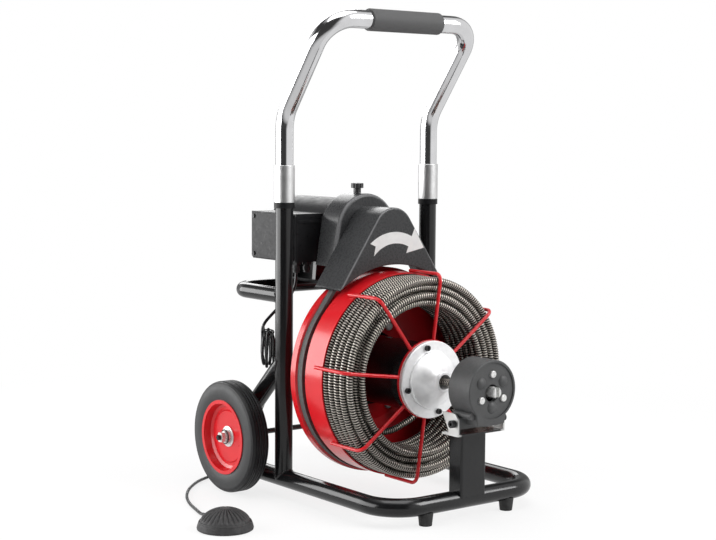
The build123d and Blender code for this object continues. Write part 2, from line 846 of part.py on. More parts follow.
# Four socket screws through flange and disc
with BuildPart() as cone_screws:
    with BuildSketch(across(disc_back_y)):
        with Locations((0, axis_z)):
            with PolarLocations(cone_screw_r, 4, 13.5):
                Circle(3.0)
    extrude(amount=disc_thick + cone_flange)
    with BuildSketch(across(flange_front_y)):
        with Locations((0, axis_z)):
            with PolarLocations(cone_screw_r, 4, 13.5):
                Circle(5.0)
    extrude(amount=5.0)
    with BuildSketch(across(flange_front_y - 2.5)):
        with Locations((0, axis_z)):
            with PolarLocations(cone_screw_r, 4, 13.5):
                RegularPolygon(2.5, 6, major_radius=False)
    extrude(amount=4.0, mode=Mode.SUBTRACT)
cone_screws.part.label = "cone_screws"
export_step(cone_screws.part.moved(home), "parts/cone_screws.step")

# Drain cable wound in the drum: helix layers from the outside in, each changed in a half turn
first_r = coil_outer_r - cable_r
coil_points = []
coil_tangents = []
turn_angle = coil_end_angle - 180.0 * coil_layers * (coil_half_turns + 1)
for layer in range(coil_layers):
    winding_r = first_r - layer * layer_pitch
    forward = layer % 2 == 0
    for step in range(coil_half_turns + 1):
        share = step / coil_half_turns
        depth = rear_strand_y + (front_strand_y - rear_strand_y) * (share if forward else 1 - share)
        lead = 0.0 if step in (0, coil_half_turns) else turn_pitch / (2 * pi)
        c, s = cos(radians(turn_angle)), sin(radians(turn_angle))
        coil_points.append(Vector(winding_r * c, depth, axis_z + winding_r * s))
        climb = -lead if forward else lead
        coil_tangents.append(Vector(-winding_r * s, climb, winding_r * c).normalized())
        turn_angle += 180.0
# The last half turn leaves the pile inwards and to the rear
leave_r = winding_r - 30.0
depth = rear_strand_y + 4.0
leave_in = radians(12.0)
out_dir = Vector(cos(radians(turn_angle)), 0, sin(radians(turn_angle)))
round_dir = Vector(-out_dir.Z, 0, out_dir.X)
coil_points.append(Vector(0, depth, axis_z) + out_dir * leave_r)
coil_tangents.append(round_dir * cos(leave_in) - out_dir * sin(leave_in))
coil_start = coil_points[0] - coil_tangents[0] * cable_d
coil_end = coil_points[-1] + coil_tangents[-1] * cable_d
with BuildPart() as drain_cable:
    with BuildLine() as coil_path:
        Line(coil_start, coil_points[0])
        for p0, t0, p1, t1 in zip(coil_points, coil_tangents, coil_points[1:], coil_tangents[1:]):
            middle, heading = biarc(p0, t0, p1, t1)
            TangentArc(p0, middle, tangent=t0)
            TangentArc(middle, p1, tangent=heading)
        Line(coil_points[-1], coil_end)
    coil_wire = coil_path.wire()
    with BuildSketch(Plane(origin=coil_start, z_dir=coil_tangents[0])):
        RegularPolygon(cable_r, 8)
    sweep(path=coil_wire)
ring_area = 2 * sqrt(2) * cable_r**2
print("drain cable", drain_cable.part.volume / (ring_area * coil_wire.length))
print("drain cable least gap", least_gap(coil_wire, cable_d))
drain_cable.part.label = "drain_cable"
export_step(drain_cable.part.moved(home), "parts/drain_cable.step")

# Cable lead: from the pile through the core window to the drum axis and forward through the cone
tip_back_y = tip_front_y + 40.0


# Point from the radius and the way round at the cable's last turn, and the depth
def from_coil(u, v, y):
    return Vector(0, y, axis_z) + out_dir * u + round_dir * v


lead_run = coil_end + coil_tangents[-1] * 20.0
lead_points = [
    coil_end,
    lead_run,
    from_coil(leave_r - 19.0, 57.0, depth + 1.5),
    from_coil(leave_r - 45.0, 69.0, depth + 3.0),
    from_coil(leave_r - 74.0, 63.0, depth + 1.0),
    from_coil(8.0, 43.0, depth - 8.5),
    from_coil(0, 16.0, depth - 27.0),
    from_coil(0, 0, depth - 56.0),
    from_coil(0, 0, tip_back_y),
]
lead_points = [tuple(p) for p in lead_points]
lead_radii = cord_radii(lead_points)
print("cable lead radii", [round(r, 1) for r in lead_radii])
with BuildPart() as cable_lead:
    with BuildLine() as lead_path:
        FilletPolyline(*lead_points, radius=lead_radii)
    with BuildSketch(Plane(origin=lead_path.line @ 0, z_dir=lead_path.line % 0)):
        Circle(cable_r)
    sweep()
print("cable lead", cable_lead.part.volume / (pi * cable_r**2 * lead_path.wire().length))
cable_lead.part.label = "cable_lead"
export_step(cable_lead.part.moved(home), "parts/cable_lead.step")

# Cable tip: a collar on the cable with a slot for a cutter
with BuildPart() as cable_tip:
    with BuildSketch(turning(axis_z)):
        with BuildLine():
            Polyline(
                (tip_back_y, 0),
                (tip_back_y, cable_r + 0.6),
                (tip_back_y - 8.0, tip_d / 2),
                (tip_front_y + 1.5, tip_d / 2),
                (tip_front_y, tip_d / 2 - 1.5),
                (tip_front_y, 0),
                close=True,
            )
        make_face()
    revolve(axis=lengthwise(axis_z))
    with Locations((0, tip_front_y, axis_z)):
        Box(7.0, 20.0, 2 * tip_d, mode=Mode.SUBTRACT)
cable_tip.part.label = "cable_tip"
export_step(cable_tip.part.moved(home), "parts/cable_tip.step")

# Feed head casting: round body with a raised rim, skirt, hinge lug and cross foot, pocket for the rollers
cavity_r = head_screw_r + roller_r + slip
head_wall = 10.0
mouth_r = 15.0
mouth_z = axis_z - mouth_drop
skirt_left_x = -36.0
skirt_right_x = 31.0
lug_r = 6.6
lug_x = -40.0
lug_z = 188.0
foot_front_y = head_front_y + 27.0
foot_back_y = head_back_y - 6.0
foot_low_z = head_skirt_z - 5.0
clamp_y = (foot_front_y + foot_back_y) / 2
clamp_z = head_skirt_z + 4.0
back_plate = 4.0
with BuildPart() as head_housing:
    with BuildSketch(across(head_back_y)):
        with Locations((0, head_z)):
            Circle(head_r)
        with BuildLine():
            Polyline(
                (skirt_left_x + 3.0, head_skirt_z + 2.5),
                (skirt_left_x - 2.0, head_z - 25.0),
                (skirt_right_x + 4.0, head_z - 25.0),
                (skirt_right_x - 3.0, head_skirt_z + 2.5),
            )
            ThreePointArc(
                (skirt_right_x - 3.0, head_skirt_z + 2.5),
                ((skirt_left_x + skirt_right_x) / 2, head_skirt_z),
                (skirt_left_x + 3.0, head_skirt_z + 2.5),
            )
        make_face()
    extrude(amount=head_back_y - head_front_y)
    fillet(head_housing.faces().sort_by(Axis.Y)[0].edges(), 2.5)
    with BuildSketch(across(head_back_y - 5.0)):
        with Locations((lug_x, lug_z)):
            Circle(lug_r)
    extrude(amount=head_back_y - head_front_y - 10.0)
    with BuildSketch(Plane.XY.offset(foot_low_z)):
        with Locations((0, clamp_y)):
            RectangleRounded(2 * saddle_half, foot_back_y - foot_front_y, 2.0)
    extrude(amount=19.0)
    # Sunk face inside the raised rim
    with BuildSketch(across(head_front_y + 2.0)):
        with Locations((0, head_z)):
            Circle(head_r - 5.0)
    extrude(amount=10.0, mode=Mode.SUBTRACT)
    # Three shallow lobes between the screws
    with BuildSketch(across(head_front_y + 5.0)):
        with Locations((0, head_z)):
            with PolarLocations(head_screw_r, 3, 30.0):
                Circle(9.0)
    extrude(amount=10.0, mode=Mode.SUBTRACT)
    # Roller pocket from the rear, mouth to the front and holes for screws and clamp bolts
    with BuildSketch(across(head_back_y)):
        with Locations((0, head_z)):
            Circle(cavity_r)
    extrude(amount=head_back_y - head_front_y - head_wall, mode=Mode.SUBTRACT)
    with BuildSketch(across(head_back_y)):
        with Locations((0, mouth_z)):
            Circle(mouth_r)
        with Locations((0, head_z)):
            with PolarLocations(head_screw_r, 3, 90.0):
                Circle(4.0)
    extrude(amount=head_back_y - head_front_y + 5.0, mode=Mode.SUBTRACT)
    with Locations((-saddle_half, clamp_y, clamp_z), (saddle_half, clamp_y, clamp_z)):
        Cylinder(4.0, 2 * 20.0, rotation=(0, 90, 0), mode=Mode.SUBTRACT)
head_housing.part.label = "head_housing"
export_step(head_housing.part.moved(home), "parts/head_housing.step")

# Plate that closes the rear of the head
with BuildPart() as head_back_plate:
    with BuildSketch(across(head_back_y)):
        with Locations((0, head_z)):
            Circle(cavity_r)
            with PolarLocations(head_screw_r, 3, 90.0):
                Circle(4.0, mode=Mode.SUBTRACT)
        with Locations((0, mouth_z)):
            Circle(mouth_r, mode=Mode.SUBTRACT)
    extrude(amount=back_plate)
head_back_plate.part.label = "head_back_plate"
export_step(head_back_plate.part.moved(home), "parts/head_back_plate.step")

# Three face screws, which are the pins of the rollers, each with a shoulder
roller_width = 10.0
roller_mid_y = head_back_y - back_plate - 4.0 - roller_width / 2
with BuildPart() as head_face_screws:
    with BuildSketch(across(head_back_y)):
        with Locations((0, head_z)):
            with PolarLocations(head_screw_r, 3, 90.0):
                Circle(4.0)
    extrude(amount=head_back_y - head_front_y - 2.0)
    with BuildSketch(across(head_front_y + 2.0)):
        with Locations((0, head_z)):
            with PolarLocations(head_screw_r, 3, 90.0):
                Circle(6.0)
    extrude(amount=4.0)
    fillet(head_face_screws.faces().sort_by(Axis.Y)[:3].edges(), 1.2)
    with BuildSketch(across(roller_mid_y - roller_width / 2 - slip)):
        with Locations((0, head_z)):
            with PolarLocations(head_screw_r, 3, 90.0):
                Circle(6.5)
    extrude(amount=roller_mid_y - roller_width / 2 - slip - head_front_y - head_wall)
    with BuildSketch(across(head_back_y - back_plate)):
        with Locations((0, head_z)):
            with PolarLocations(head_screw_r, 3, 90.0):
                Circle(6.5)
    extrude(amount=4.0 - slip)
head_face_screws.part.label = "head_face_screws"
export_step(head_face_screws.part.moved(home), "parts/head_face_screws.step")

# Three guide rollers on the screws
for k, word in enumerate(("top", "left", "right")):
    with BuildPart() as roller:
        turn = radians(90.0 + 120.0 * k)
        with BuildSketch(across(roller_mid_y + roller_width / 2)):
            with Locations((head_screw_r * cos(turn), head_z + head_screw_r * sin(turn))):
                Circle(roller_r)
                Circle(4.0 + running, mode=Mode.SUBTRACT)
        extrude(amount=roller_width)
        chamfer(roller.edges().filter_by(GeomType.CIRCLE).sort_by(SortBy.RADIUS)[-2:], 1.0)
    roller.part.label = f"{word}_roller"
    export_step(roller.part.moved(home), f"parts/{word}_roller.step")

# Zinc saddle: a channel bent from strip, its floor on the post and its ears on the sides of the head foot
strip = 3.0
saddle_front_y = foot_front_y
saddle_back_y = front_y + 6.0
ear_top_z = foot_low_z + 26.0
with BuildPart() as saddle_bracket:
    with BuildSketch(Plane.XY.offset(post_top_z)):
        with Locations((0, (saddle_front_y + saddle_back_y) / 2)):
            Rectangle(2 * (saddle_half + strip), saddle_back_y - saddle_front_y)
    extrude(amount=strip)
    for side in (-1, 1):
        with BuildSketch(Plane.YZ.offset(side * saddle_half)):
            with BuildLine():
                Polyline(
                    (saddle_front_y, post_top_z),
                    (saddle_front_y, ear_top_z - 8.0),
                    (saddle_front_y + 8.0, ear_top_z),
                    (saddle_back_y, ear_top_z),
                    (saddle_back_y - 17.0, post_top_z + 3 * strip),
                    (saddle_back_y - 17.0, post_top_z),
                    close=True,
                )
            make_face()
        extrude(amount=side * strip)
    with Locations((-saddle_half, clamp_y, clamp_z), (saddle_half, clamp_y, clamp_z)):
        Cylinder(4.0, 4 * strip, rotation=(0, 90, 0), mode=Mode.SUBTRACT)
saddle_bracket.part.label = "saddle_bracket"
export_step(saddle_bracket.part.moved(home), "parts/saddle_bracket.step")

# Clamp bolts from both sides through the ears into the head foot
bolt_head = 8.0
with BuildPart() as head_clamp_bolts:
    for side in (-1, 1):
        ear_face = side * (saddle_half + strip)
        with BuildSketch(Plane.YZ.offset(ear_face)):
            with Locations((clamp_y, clamp_z)):
                Circle(6.5)
        extrude(amount=side * bolt_head)
        with BuildSketch(Plane.YZ.offset(ear_face)):
            with Locations((clamp_y, clamp_z)):
                Circle(4.0)
        extrude(amount=-side * (strip + 18.0))
        with BuildSketch(Plane.YZ.offset(ear_face + side * (bolt_head - 4.0))):
            with Locations((clamp_y, clamp_z)):
                RegularPolygon(3.0, 6, major_radius=False)
        extrude(amount=side * 4.0, mode=Mode.SUBTRACT)
head_clamp_bolts.part.label = "head_clamp_bolts"
export_step(head_clamp_bolts.part.moved(home), "parts/head_clamp_bolts.step")

# Feed post: rectangular tube coped on the front bar, with a flared cap
cap = 4.0
post_foot_z = base_z + 6.0
with BuildPart() as feed_post:
    with BuildSketch(Plane.XY.offset(post_foot_z)):
        with Locations((0, front_y)):
            RectangleRounded(post_width, post_depth, 4.0)
            RectangleRounded(post_width - 2 * frame_wall, post_depth - 2 * frame_wall, 2.0, mode=Mode.SUBTRACT)
    extrude(amount=post_top_z - cap - post_foot_z)
    with BuildSketch(Plane.XY.offset(post_top_z - cap)):
        with Locations((0, front_y)):
            RectangleRounded(post_width, post_depth, 4.0)
    extrude(amount=cap, taper=-37)
    with Locations((0, front_y, base_z)):
        Cylinder(tube_r, 2 * post_width, rotation=(0, 90, 0), mode=Mode.SUBTRACT)
feed_post.part.label = "feed_post"
export_step(feed_post.part.moved(home), "parts/feed_post.step")

# Outline of guard or shroud: round top about the motor axis, straight sides down to the feet
guard_foot_z = 379.0
shroud_foot_z = 415.0


def hood_outline(radius, foot_x, foot_z, inset):
    far = sqrt(foot_x**2 + (motor_z - foot_z) ** 2)
    way = atan2(motor_z - foot_z, foot_x) + asin(radius / far)
    drop = 30.0 if inset else 0.0
    top = radius - inset
    side_top = (-top * sin(way), motor_z + top * cos(way))
    run = sqrt(far**2 - radius**2) + drop
    side_foot = (side_top[0] - run * cos(way), side_top[1] - run * sin(way))
    Line(side_foot, side_top)
    ThreePointArc(side_top, (0, motor_z + top), (-side_top[0], side_top[1]))
    Line((-side_top[0], side_top[1]), (-side_foot[0], side_foot[1]))
    Line((-side_foot[0], side_foot[1]), side_foot)


# Belt guard: a hood open at the back and below, cut in an arch over the drum
with BuildPart() as belt_guard:
    with BuildSketch(across(guard_back_y)):
        with BuildLine():
            hood_outline(guard_apex_r, guard_foot_x, guard_foot_z, 0)
        make_face()
    extrude(amount=guard_back_y - guard_front_y)
    fillet(belt_guard.faces().sort_by(Axis.Y)[0].edges().filter_by(Plane.XY, reverse=True), 3.0)
    with BuildSketch(across(guard_back_y)):
        with BuildLine():
            hood_outline(guard_apex_r, guard_foot_x, guard_foot_z, guard_wall)
        make_face()
    extrude(amount=guard_back_y - guard_front_y - guard_wall, mode=Mode.SUBTRACT)
    with Locations((0, guard_front_y, axis_z)):
        Cylinder(guard_arch_r, 4 * motor_r, rotation=(90, 0, 0), mode=Mode.SUBTRACT)
belt_guard.part.label = "belt_guard"
export_step(belt_guard.part.moved(home), "parts/belt_guard.step")

# Motor shroud: taller hood behind the guard, with a front wall that fills the step between them
knob_y = 4.5
stud_d = 6.0
with BuildPart() as motor_shroud:
    with BuildSketch(across(shroud_back_y)):
        with BuildLine():
            hood_outline(shroud_r, shroud_foot_x - 8.0, shroud_foot_z, 0)
        make_face()
    extrude(amount=shroud_back_y - guard_back_y)
    fillet(motor_shroud.faces().sort_by(Axis.Y)[0].edges().filter_by(Plane.XY, reverse=True), 6.0)
    with BuildSketch(across(shroud_back_y)):
        with BuildLine():
            hood_outline(shroud_r, shroud_foot_x - 8.0, shroud_foot_z, guard_wall)
        make_face()
    extrude(amount=shroud_back_y - guard_back_y - guard_wall, mode=Mode.SUBTRACT)
    with BuildSketch(across(guard_back_y + guard_wall)):
        with BuildLine():
            hood_outline(guard_apex_r, guard_foot_x, guard_foot_z, guard_wall)
        make_face()
    extrude(amount=2 * guard_wall, mode=Mode.SUBTRACT)
    with Locations((0, knob_y, motor_z + shroud_r)):
        Cylinder(stud_d / 2 + slip, 4 * guard_wall, mode=Mode.SUBTRACT)
motor_shroud.part.label = "motor_shroud"
export_step(motor_shroud.part.moved(home), "parts/motor_shroud.step")

# Stud on the motor shield, and the star knob that holds the shroud down
knob_base_z = motor_z + shroud_r + slip
with BuildPart() as knob_stud:
    with BuildSketch(Plane.XY.offset(motor_z + shield_r - 3.0)):
        with Locations((0, knob_y)):
            Circle(stud_d / 2)
    extrude(amount=knob_base_z + 14.0 - (motor_z + shield_r - 3.0))
    with BuildSketch(across(shroud_back_y)):
        with Locations((0, motor_z)):
            Circle(shield_r)
    extrude(amount=shroud_back_y - guard_back_y, mode=Mode.SUBTRACT)
knob_stud.part.label = "knob_stud"
export_step(knob_stud.part.moved(home), "parts/knob_stud.step")

knob_r = 11.5
with BuildPart() as guard_knob:
    with BuildSketch(Plane.XY.offset(knob_base_z)):
        with Locations((0, knob_y)):
            Circle(7.0)
    extrude(amount=9.0)
    with BuildSketch(Plane.XY.offset(knob_base_z + 9.0)):
        with Locations((0, knob_y)):
            Circle(knob_r)
            with PolarLocations(knob_r + 1.5, 7):
                Circle(3.2, mode=Mode.SUBTRACT)
    extrude(amount=9.0)
    fillet(guard_knob.faces().sort_by(Axis.Z)[-1].edges(), 1.5)
    with Locations((0, knob_y, knob_base_z)):
        Cylinder(stud_d / 2 + running, 2 * 14.5, mode=Mode.SUBTRACT)
guard_knob.part.label = "guard_knob"
export_step(guard_knob.part.moved(home), "parts/guard_knob.step")

# Control box beside the motor, with a seat for the switch in its rear end
box_mid_x = box_x + box_width / 2
box_mid_y = box_front_y + box_length / 2
box_mid_z = box_bottom_z + box_height / 2
box_back_y = box_front_y + box_length
gland_xy = (box_x + 14.0, box_front_y + 18.0)
cord_xy = (box_x + 38.0, box_front_y + 18.0)
seat_width = 16.0
seat_height = 26.0
seat_depth = 12.0
with BuildPart() as control_box:
    with Locations((box_mid_x, box_mid_y, box_mid_z)):
        Box(box_width, box_length, box_height)
    fillet(control_box.edges().filter_by(Axis.Z), 5.0)
    # Lid edge round the top and a ledge under it on the front
    with Locations((box_mid_x, box_mid_y, box_bottom_z + box_height - 3.0)):
        Box(box_width, box_length + 1.6, 6.0)
    with Locations((box_mid_x, box_front_y, box_bottom_z + box_height - 14.0)):
        Box(box_width - 10.0, 5.0, 5.0)
    with BuildSketch(across(box_back_y)):
        with Locations((box_mid_x, box_mid_z)):
            Rectangle(seat_width, seat_height)
    extrude(amount=seat_depth, mode=Mode.SUBTRACT)
control_box.part.label = "control_box"
export_step(control_box.part.moved(home), "parts/control_box.step")

# Cover on the outer side of the box, with raised border
cover = 4.0
with BuildPart() as box_cover:
    with BuildSketch(Plane.YZ.offset(box_x - cover)):
        with Locations((box_mid_y, box_mid_z)):
            RectangleRounded(box_length - 8.0, box_height - 3.0, 6.0)
    extrude(amount=cover)
    fillet(box_cover.faces().sort_by(Axis.X)[0].edges(), 1.5)
    with BuildSketch(Plane.YZ.offset(box_x - cover)):
        with Locations((box_mid_y, box_mid_z)):
            with GridLocations(box_length - 24.0, box_height - 18.0, 2, 2):
                Circle(2.0)
    extrude(amount=cover, mode=Mode.SUBTRACT)
box_cover.part.label = "box_cover"
export_step(box_cover.part.moved(home), "parts/box_cover.step")

with BuildPart() as box_cover_screws:
    with BuildSketch(Plane.YZ.offset(box_x - cover)):
        with Locations((box_mid_y, box_mid_z)):
            with GridLocations(box_length - 24.0, box_height - 18.0, 2, 2):
                Circle(2.0)
    extrude(amount=cover)
    with BuildSketch(Plane.YZ.offset(box_x - cover)):
        with Locations((box_mid_y, box_mid_z)):
            with GridLocations(box_length - 24.0, box_height - 18.0, 2, 2):
                Circle(4.0)
    extrude(amount=-2.2)
box_cover_screws.part.label = "box_cover_screws"
export_step(box_cover_screws.part.moved(home), "parts/box_cover_screws.step")

# Glands under the box, one for the air hose and one for the mains cord
gland = 20.0
with BuildPart() as box_glands:
    with BuildSketch(Plane.XY.offset(box_bottom_z)):
        with Locations(gland_xy, cord_xy):
            Circle(6.0)
    extrude(amount=-gland)
    with BuildSketch(Plane.XY.offset(box_bottom_z)):
        with Locations(gland_xy, cord_xy):
            RegularPolygon(8.0, 6, major_radius=False)
    extrude(amount=-6.0)
    with BuildSketch(Plane.XY.offset(box_bottom_z - 9.0)):
        with Locations(gland_xy, cord_xy):
            Circle(7.5)
    extrude(amount=-7.0)
box_glands.part.label = "box_glands"
export_step(box_glands.part.moved(home), "parts/box_glands.step")

# Reversing switch: a rocker on a cross pin in the rear seat
with BuildPart() as switch_rocker:
    with BuildSketch(Plane.YZ.offset(box_mid_x - seat_width / 2 + gap)):
        with BuildLine():
            Polyline(
                (box_back_y - 4.0, box_mid_z - 9.0),
                (box_back_y + 4.5, box_mid_z - 10.5),
                (box_back_y + 2.5, box_mid_z),
                (box_back_y + 4.5, box_mid_z + 10.5),
                (box_back_y - 4.0, box_mid_z + 9.0),
                close=True,
            )
        make_face()
    extrude(amount=seat_width - 2 * gap)
switch_rocker.part.label = "switch_rocker"
export_step(switch_rocker.part.moved(home), "parts/switch_rocker.step")

# Handle tube: legs, forward slope and top bar in one bent tube
leg_bottom_z = spigot_top_z + 1.0
with BuildPart() as handle_tube:
    with BuildLine() as handle_path:
        FilletPolyline(
            (-half_track, 0, leg_bottom_z),
            (-half_track, 0, handle_bend_z),
            (-half_track, -handle_reach, handle_top_z),
            (half_track, -handle_reach, handle_top_z),
            (half_track, 0, handle_bend_z),
            (half_track, 0, leg_bottom_z),
            radius=[handle_bend_r, handle_corner_r, handle_corner_r, handle_bend_r],
        )
    with BuildSketch(Plane(origin=handle_path.line @ 0, z_dir=handle_path.line % 0)):
        Circle(handle_od / 2)
        Circle(handle_od / 2 - frame_wall, mode=Mode.SUBTRACT)
    sweep()
handle_tube.part.label = "handle_tube"
export_step(handle_tube.part.moved(home), "parts/handle_tube.step")

# Sleeves fixed on the legs, slipped over the spigots of the uprights
with BuildPart() as handle_sleeves:
    for side in (-1, 1):
        with BuildSketch(Plane.XY.offset(sleeve_bottom_z)):
            with Locations((side * half_track, 0)):
                Circle(sleeve_od / 2)
                Circle(tube_r + slip, mode=Mode.SUBTRACT)
        extrude(amount=leg_bottom_z - sleeve_bottom_z)
        with BuildSketch(Plane.XY.offset(leg_bottom_z)):
            with Locations((side * half_track, 0)):
                Circle(sleeve_od / 2)
                Circle(handle_od / 2, mode=Mode.SUBTRACT)
        extrude(amount=sleeve_top_z - leg_bottom_z)
    outer = handle_sleeves.edges().filter_by(GeomType.CIRCLE).filter_by(lambda e: e.radius > tube_r + 1.0)
    fillet(outer.filter_by(lambda e: e.center().Z > sleeve_top_z - 1.0), 1.2)
handle_sleeves.part.label = "handle_sleeves"
export_step(handle_sleeves.part.moved(home), "parts/handle_sleeves.step")

# Stop rings on the uprights under the sleeves
with BuildPart() as stop_rings:
    for side in (-1, 1):
        with BuildSketch(Plane.XY.offset(sleeve_bottom_z - slip - ring_height)):
            with Locations((side * half_track, 0)):
                Circle(sleeve_od / 2)
                Circle(tube_r, mode=Mode.SUBTRACT)
        extrude(amount=ring_height)
stop_rings.part.label = "stop_rings"
export_step(stop_rings.part.moved(home), "parts/stop_rings.step")

# Smooth foam grip round the top bar with rounded ends
with BuildPart() as handle_grip:
    with BuildSketch(Plane.YZ.offset(-grip_length / 2)):
        with Locations((-handle_reach, handle_top_z)):
            Circle(grip_od / 2)
            Circle(handle_od / 2, mode=Mode.SUBTRACT)
    extrude(amount=grip_length)
    fillet(handle_grip.edges().filter_by(GeomType.CIRCLE).sort_by(SortBy.RADIUS)[-2:], 3.0)
handle_grip.part.label = "handle_grip"
export_step(handle_grip.part.moved(home), "parts/handle_grip.step")

# Foot pedal: round base with a well, and a nipple for the hose
skirt_r = pedal_r - 4.8
rim_z = 12.5
well_floor = 2.5
dome_base_z = well_floor + pedal_stroke + gap
nipple_x = pedal_x + 6.0
nipple_z = 9.0
pedal_plane = Plane(origin=(pedal_x, pedal_y, 0), x_dir=(1, 0, 0), z_dir=(0, -1, 0))
nipple_end_y = pedal_y + pedal_r + 8.0
with BuildPart() as pedal_base:
    with BuildSketch(pedal_plane):
        with BuildLine():
            Polyline(
                (0, 0),
                (pedal_r - 2.5, 0),
                (pedal_r - 0.6, 1.2),
                (pedal_r, 3.5),
                (pedal_r - 1.2, 8.5),
                (pedal_r - 2.6, rim_z),
                (skirt_r + slip, rim_z),
                (skirt_r + slip, well_floor),
                (0, well_floor),
                close=True,
            )
        make_face()
    revolve(axis=Axis((pedal_x, pedal_y, 0), (0, 0, 1)))
    with BuildSketch(across(nipple_end_y)):
        with Locations((nipple_x, nipple_z)):
            Circle(4.5)
    extrude(amount=nipple_end_y - pedal_y - pedal_r + 3.0)
pedal_base.part.label = "pedal_base"
export_step(pedal_base.part.moved(home), "parts/pedal_base.step")

# Rubber dome, which goes down in the well
with BuildPart() as pedal_dome:
    with BuildSketch(pedal_plane):
        with BuildLine():
            Polyline((0, dome_base_z), (skirt_r, dome_base_z), (skirt_r, rim_z + 0.5))
            ThreePointArc(
                (skirt_r, rim_z + 0.5),
                (skirt_r * 0.855, pedal_height - 13.5),
                (skirt_r * 0.576, pedal_height - 5.0),
            )
            Polyline(
                (skirt_r * 0.576, pedal_height - 5.0),
                (skirt_r * 0.24, pedal_height - 0.5),
                (0, pedal_height),
                (0, dome_base_z),
            )
        make_face()
    revolve(axis=Axis((pedal_x, pedal_y, 0), (0, 0, 1)))
pedal_dome.part.label = "pedal_dome"
export_step(pedal_dome.part.moved(home), "parts/pedal_dome.step")

# Hank of spare hose in the notch between upright and brace: racetrack loops side by side as one helix
hose_r = hose_d / 2
loop_r = 17.0
loop_half = 12.2
loops = 3
loop_pitch = hose_d + 0.6
up = Vector(0, 0, 1)
hank_dir = Vector(sin(radians(hank_turn)), cos(radians(hank_turn)), 0)
hank_side = Vector(-hank_dir.Y, hank_dir.X, 0)
hank_first = Vector(hank_x, hank_y, hank_z) - hank_side * (loop_pitch * loops / 2)
straight = 2 * loop_half
half_run = straight + pi * loop_r
side_step = loop_pitch / (2 * half_run)
hank_points = []
hank_tangents = []
for k in range(2 * loops + 1):
    way = 1 if k % 2 == 0 else -1
    for share in (0, straight):
        run = k * half_run + share
        level = up * (way * (share - loop_half))
        hank_points.append(hank_first + hank_dir * (way * loop_r) + level + hank_side * (run * side_step))
        hank_tangents.append((up * way + hank_side * side_step).normalized())
hank_start = hank_points[0] - hank_tangents[0] * hose_d
hank_end = hank_points[-1] + hank_tangents[-1] * hose_d
with BuildPart() as hose_hank:
    with BuildLine() as hank_path:
        Line(hank_start, hank_points[0])
        for p0, t0, p1, t1 in zip(hank_points, hank_tangents, hank_points[1:], hank_tangents[1:]):
            if abs(t0.dot(t1) - 1) < 1e-9:
                Line(p0, p1)
            else:
                middle, heading = biarc(p0, t0, p1, t1)
                TangentArc(p0, middle, tangent=t0)
                TangentArc(middle, p1, tangent=heading)
        Line(hank_points[-1], hank_end)
    hank_wire = hank_path.wire()
    with BuildSketch(Plane(origin=hank_start, z_dir=hank_tangents[0])):
        Circle(hose_r)
    sweep(path=hank_wire)
print("hank", hose_hank.part.volume / (pi * hose_r**2 * hank_wire.length))
print("hank least gap", least_gap(hank_wire, hose_d))
hose_hank.part.label = "hose_hank"
export_step(hose_hank.part.moved(home), "parts/hose_hank.step")

# Hose from the pedal over the floor and up the brace to the hank, and from the hank up to the gland
floor_z = hose_r + 0.1
floor_points = [
    (nipple_x, nipple_end_y, nipple_z),
    (nipple_x, nipple_end_y + 20.0, nipple_z),
    (-364.0, -36.0, floor_z),
    (-355.0, -7.0, floor_z),
    (-345.0, 29.0, floor_z),
    (-330.0, 66.0, floor_z),
    (-311.0, 100.0, floor_z),
    (-287.0, 133.0, floor_z),
    (-261.0, 160.0, floor_z),
    (-233.0, 184.0, floor_z),
    (-200.0, 202.0, floor_z),
    (-166.0, 205.0, floor_z + 6.0),
    (-146.0, 190.0, floor_z + 32.0),
    (-143.0, 163.0, floor_z + 66.0),
    (-144.0, 134.0, floor_z + 104.0),
    (-146.5, 99.0, floor_z + 144.0),
    (-148.0, 70.0, floor_z + 193.0),
    tuple(hank_start - hank_tangents[0] * 22.0),
    tuple(hank_start),
]
gland_z = box_bottom_z - gland
rise_points = [
    tuple(hank_end),
    tuple(hank_end + hank_tangents[-1] * 22.0),
    (hank_end.X + 14.0, hank_end.Y - 3.5, hank_end.Z + 49.0),
    (hank_end.X + 35.0, hank_end.Y - 8.5, hank_end.Z + 63.6),
    (gland_xy[0] - 7.0, gland_xy[1] + 1.0, gland_z - 37.0),
    (gland_xy[0], gland_xy[1], gland_z - 17.0),
    (gland_xy[0], gland_xy[1], gland_z),
]
with BuildPart() as hose_runs:
    for points in (floor_points, rise_points):
        radii = cord_radii(points)
        print("hose radii", [round(r, 1) for r in radii])
        with BuildLine() as hose_path:
            FilletPolyline(*points, radius=radii)
        before = hose_runs.part.volume if hose_runs.part else 0
        with BuildSketch(Plane(origin=hose_path.line @ 0, z_dir=hose_path.line % 0)):
            Circle(hose_r)
        sweep()
        made = hose_runs.part.volume - before
        print("hose run", made / (pi * hose_r**2 * hose_path.wire().length))
hose_runs.part.label = "hose_runs"
export_step(hose_runs.part.moved(home), "parts/hose_runs.step")
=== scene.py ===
import math

import bpy
import numpy as np
from mathutils import Matrix, Vector


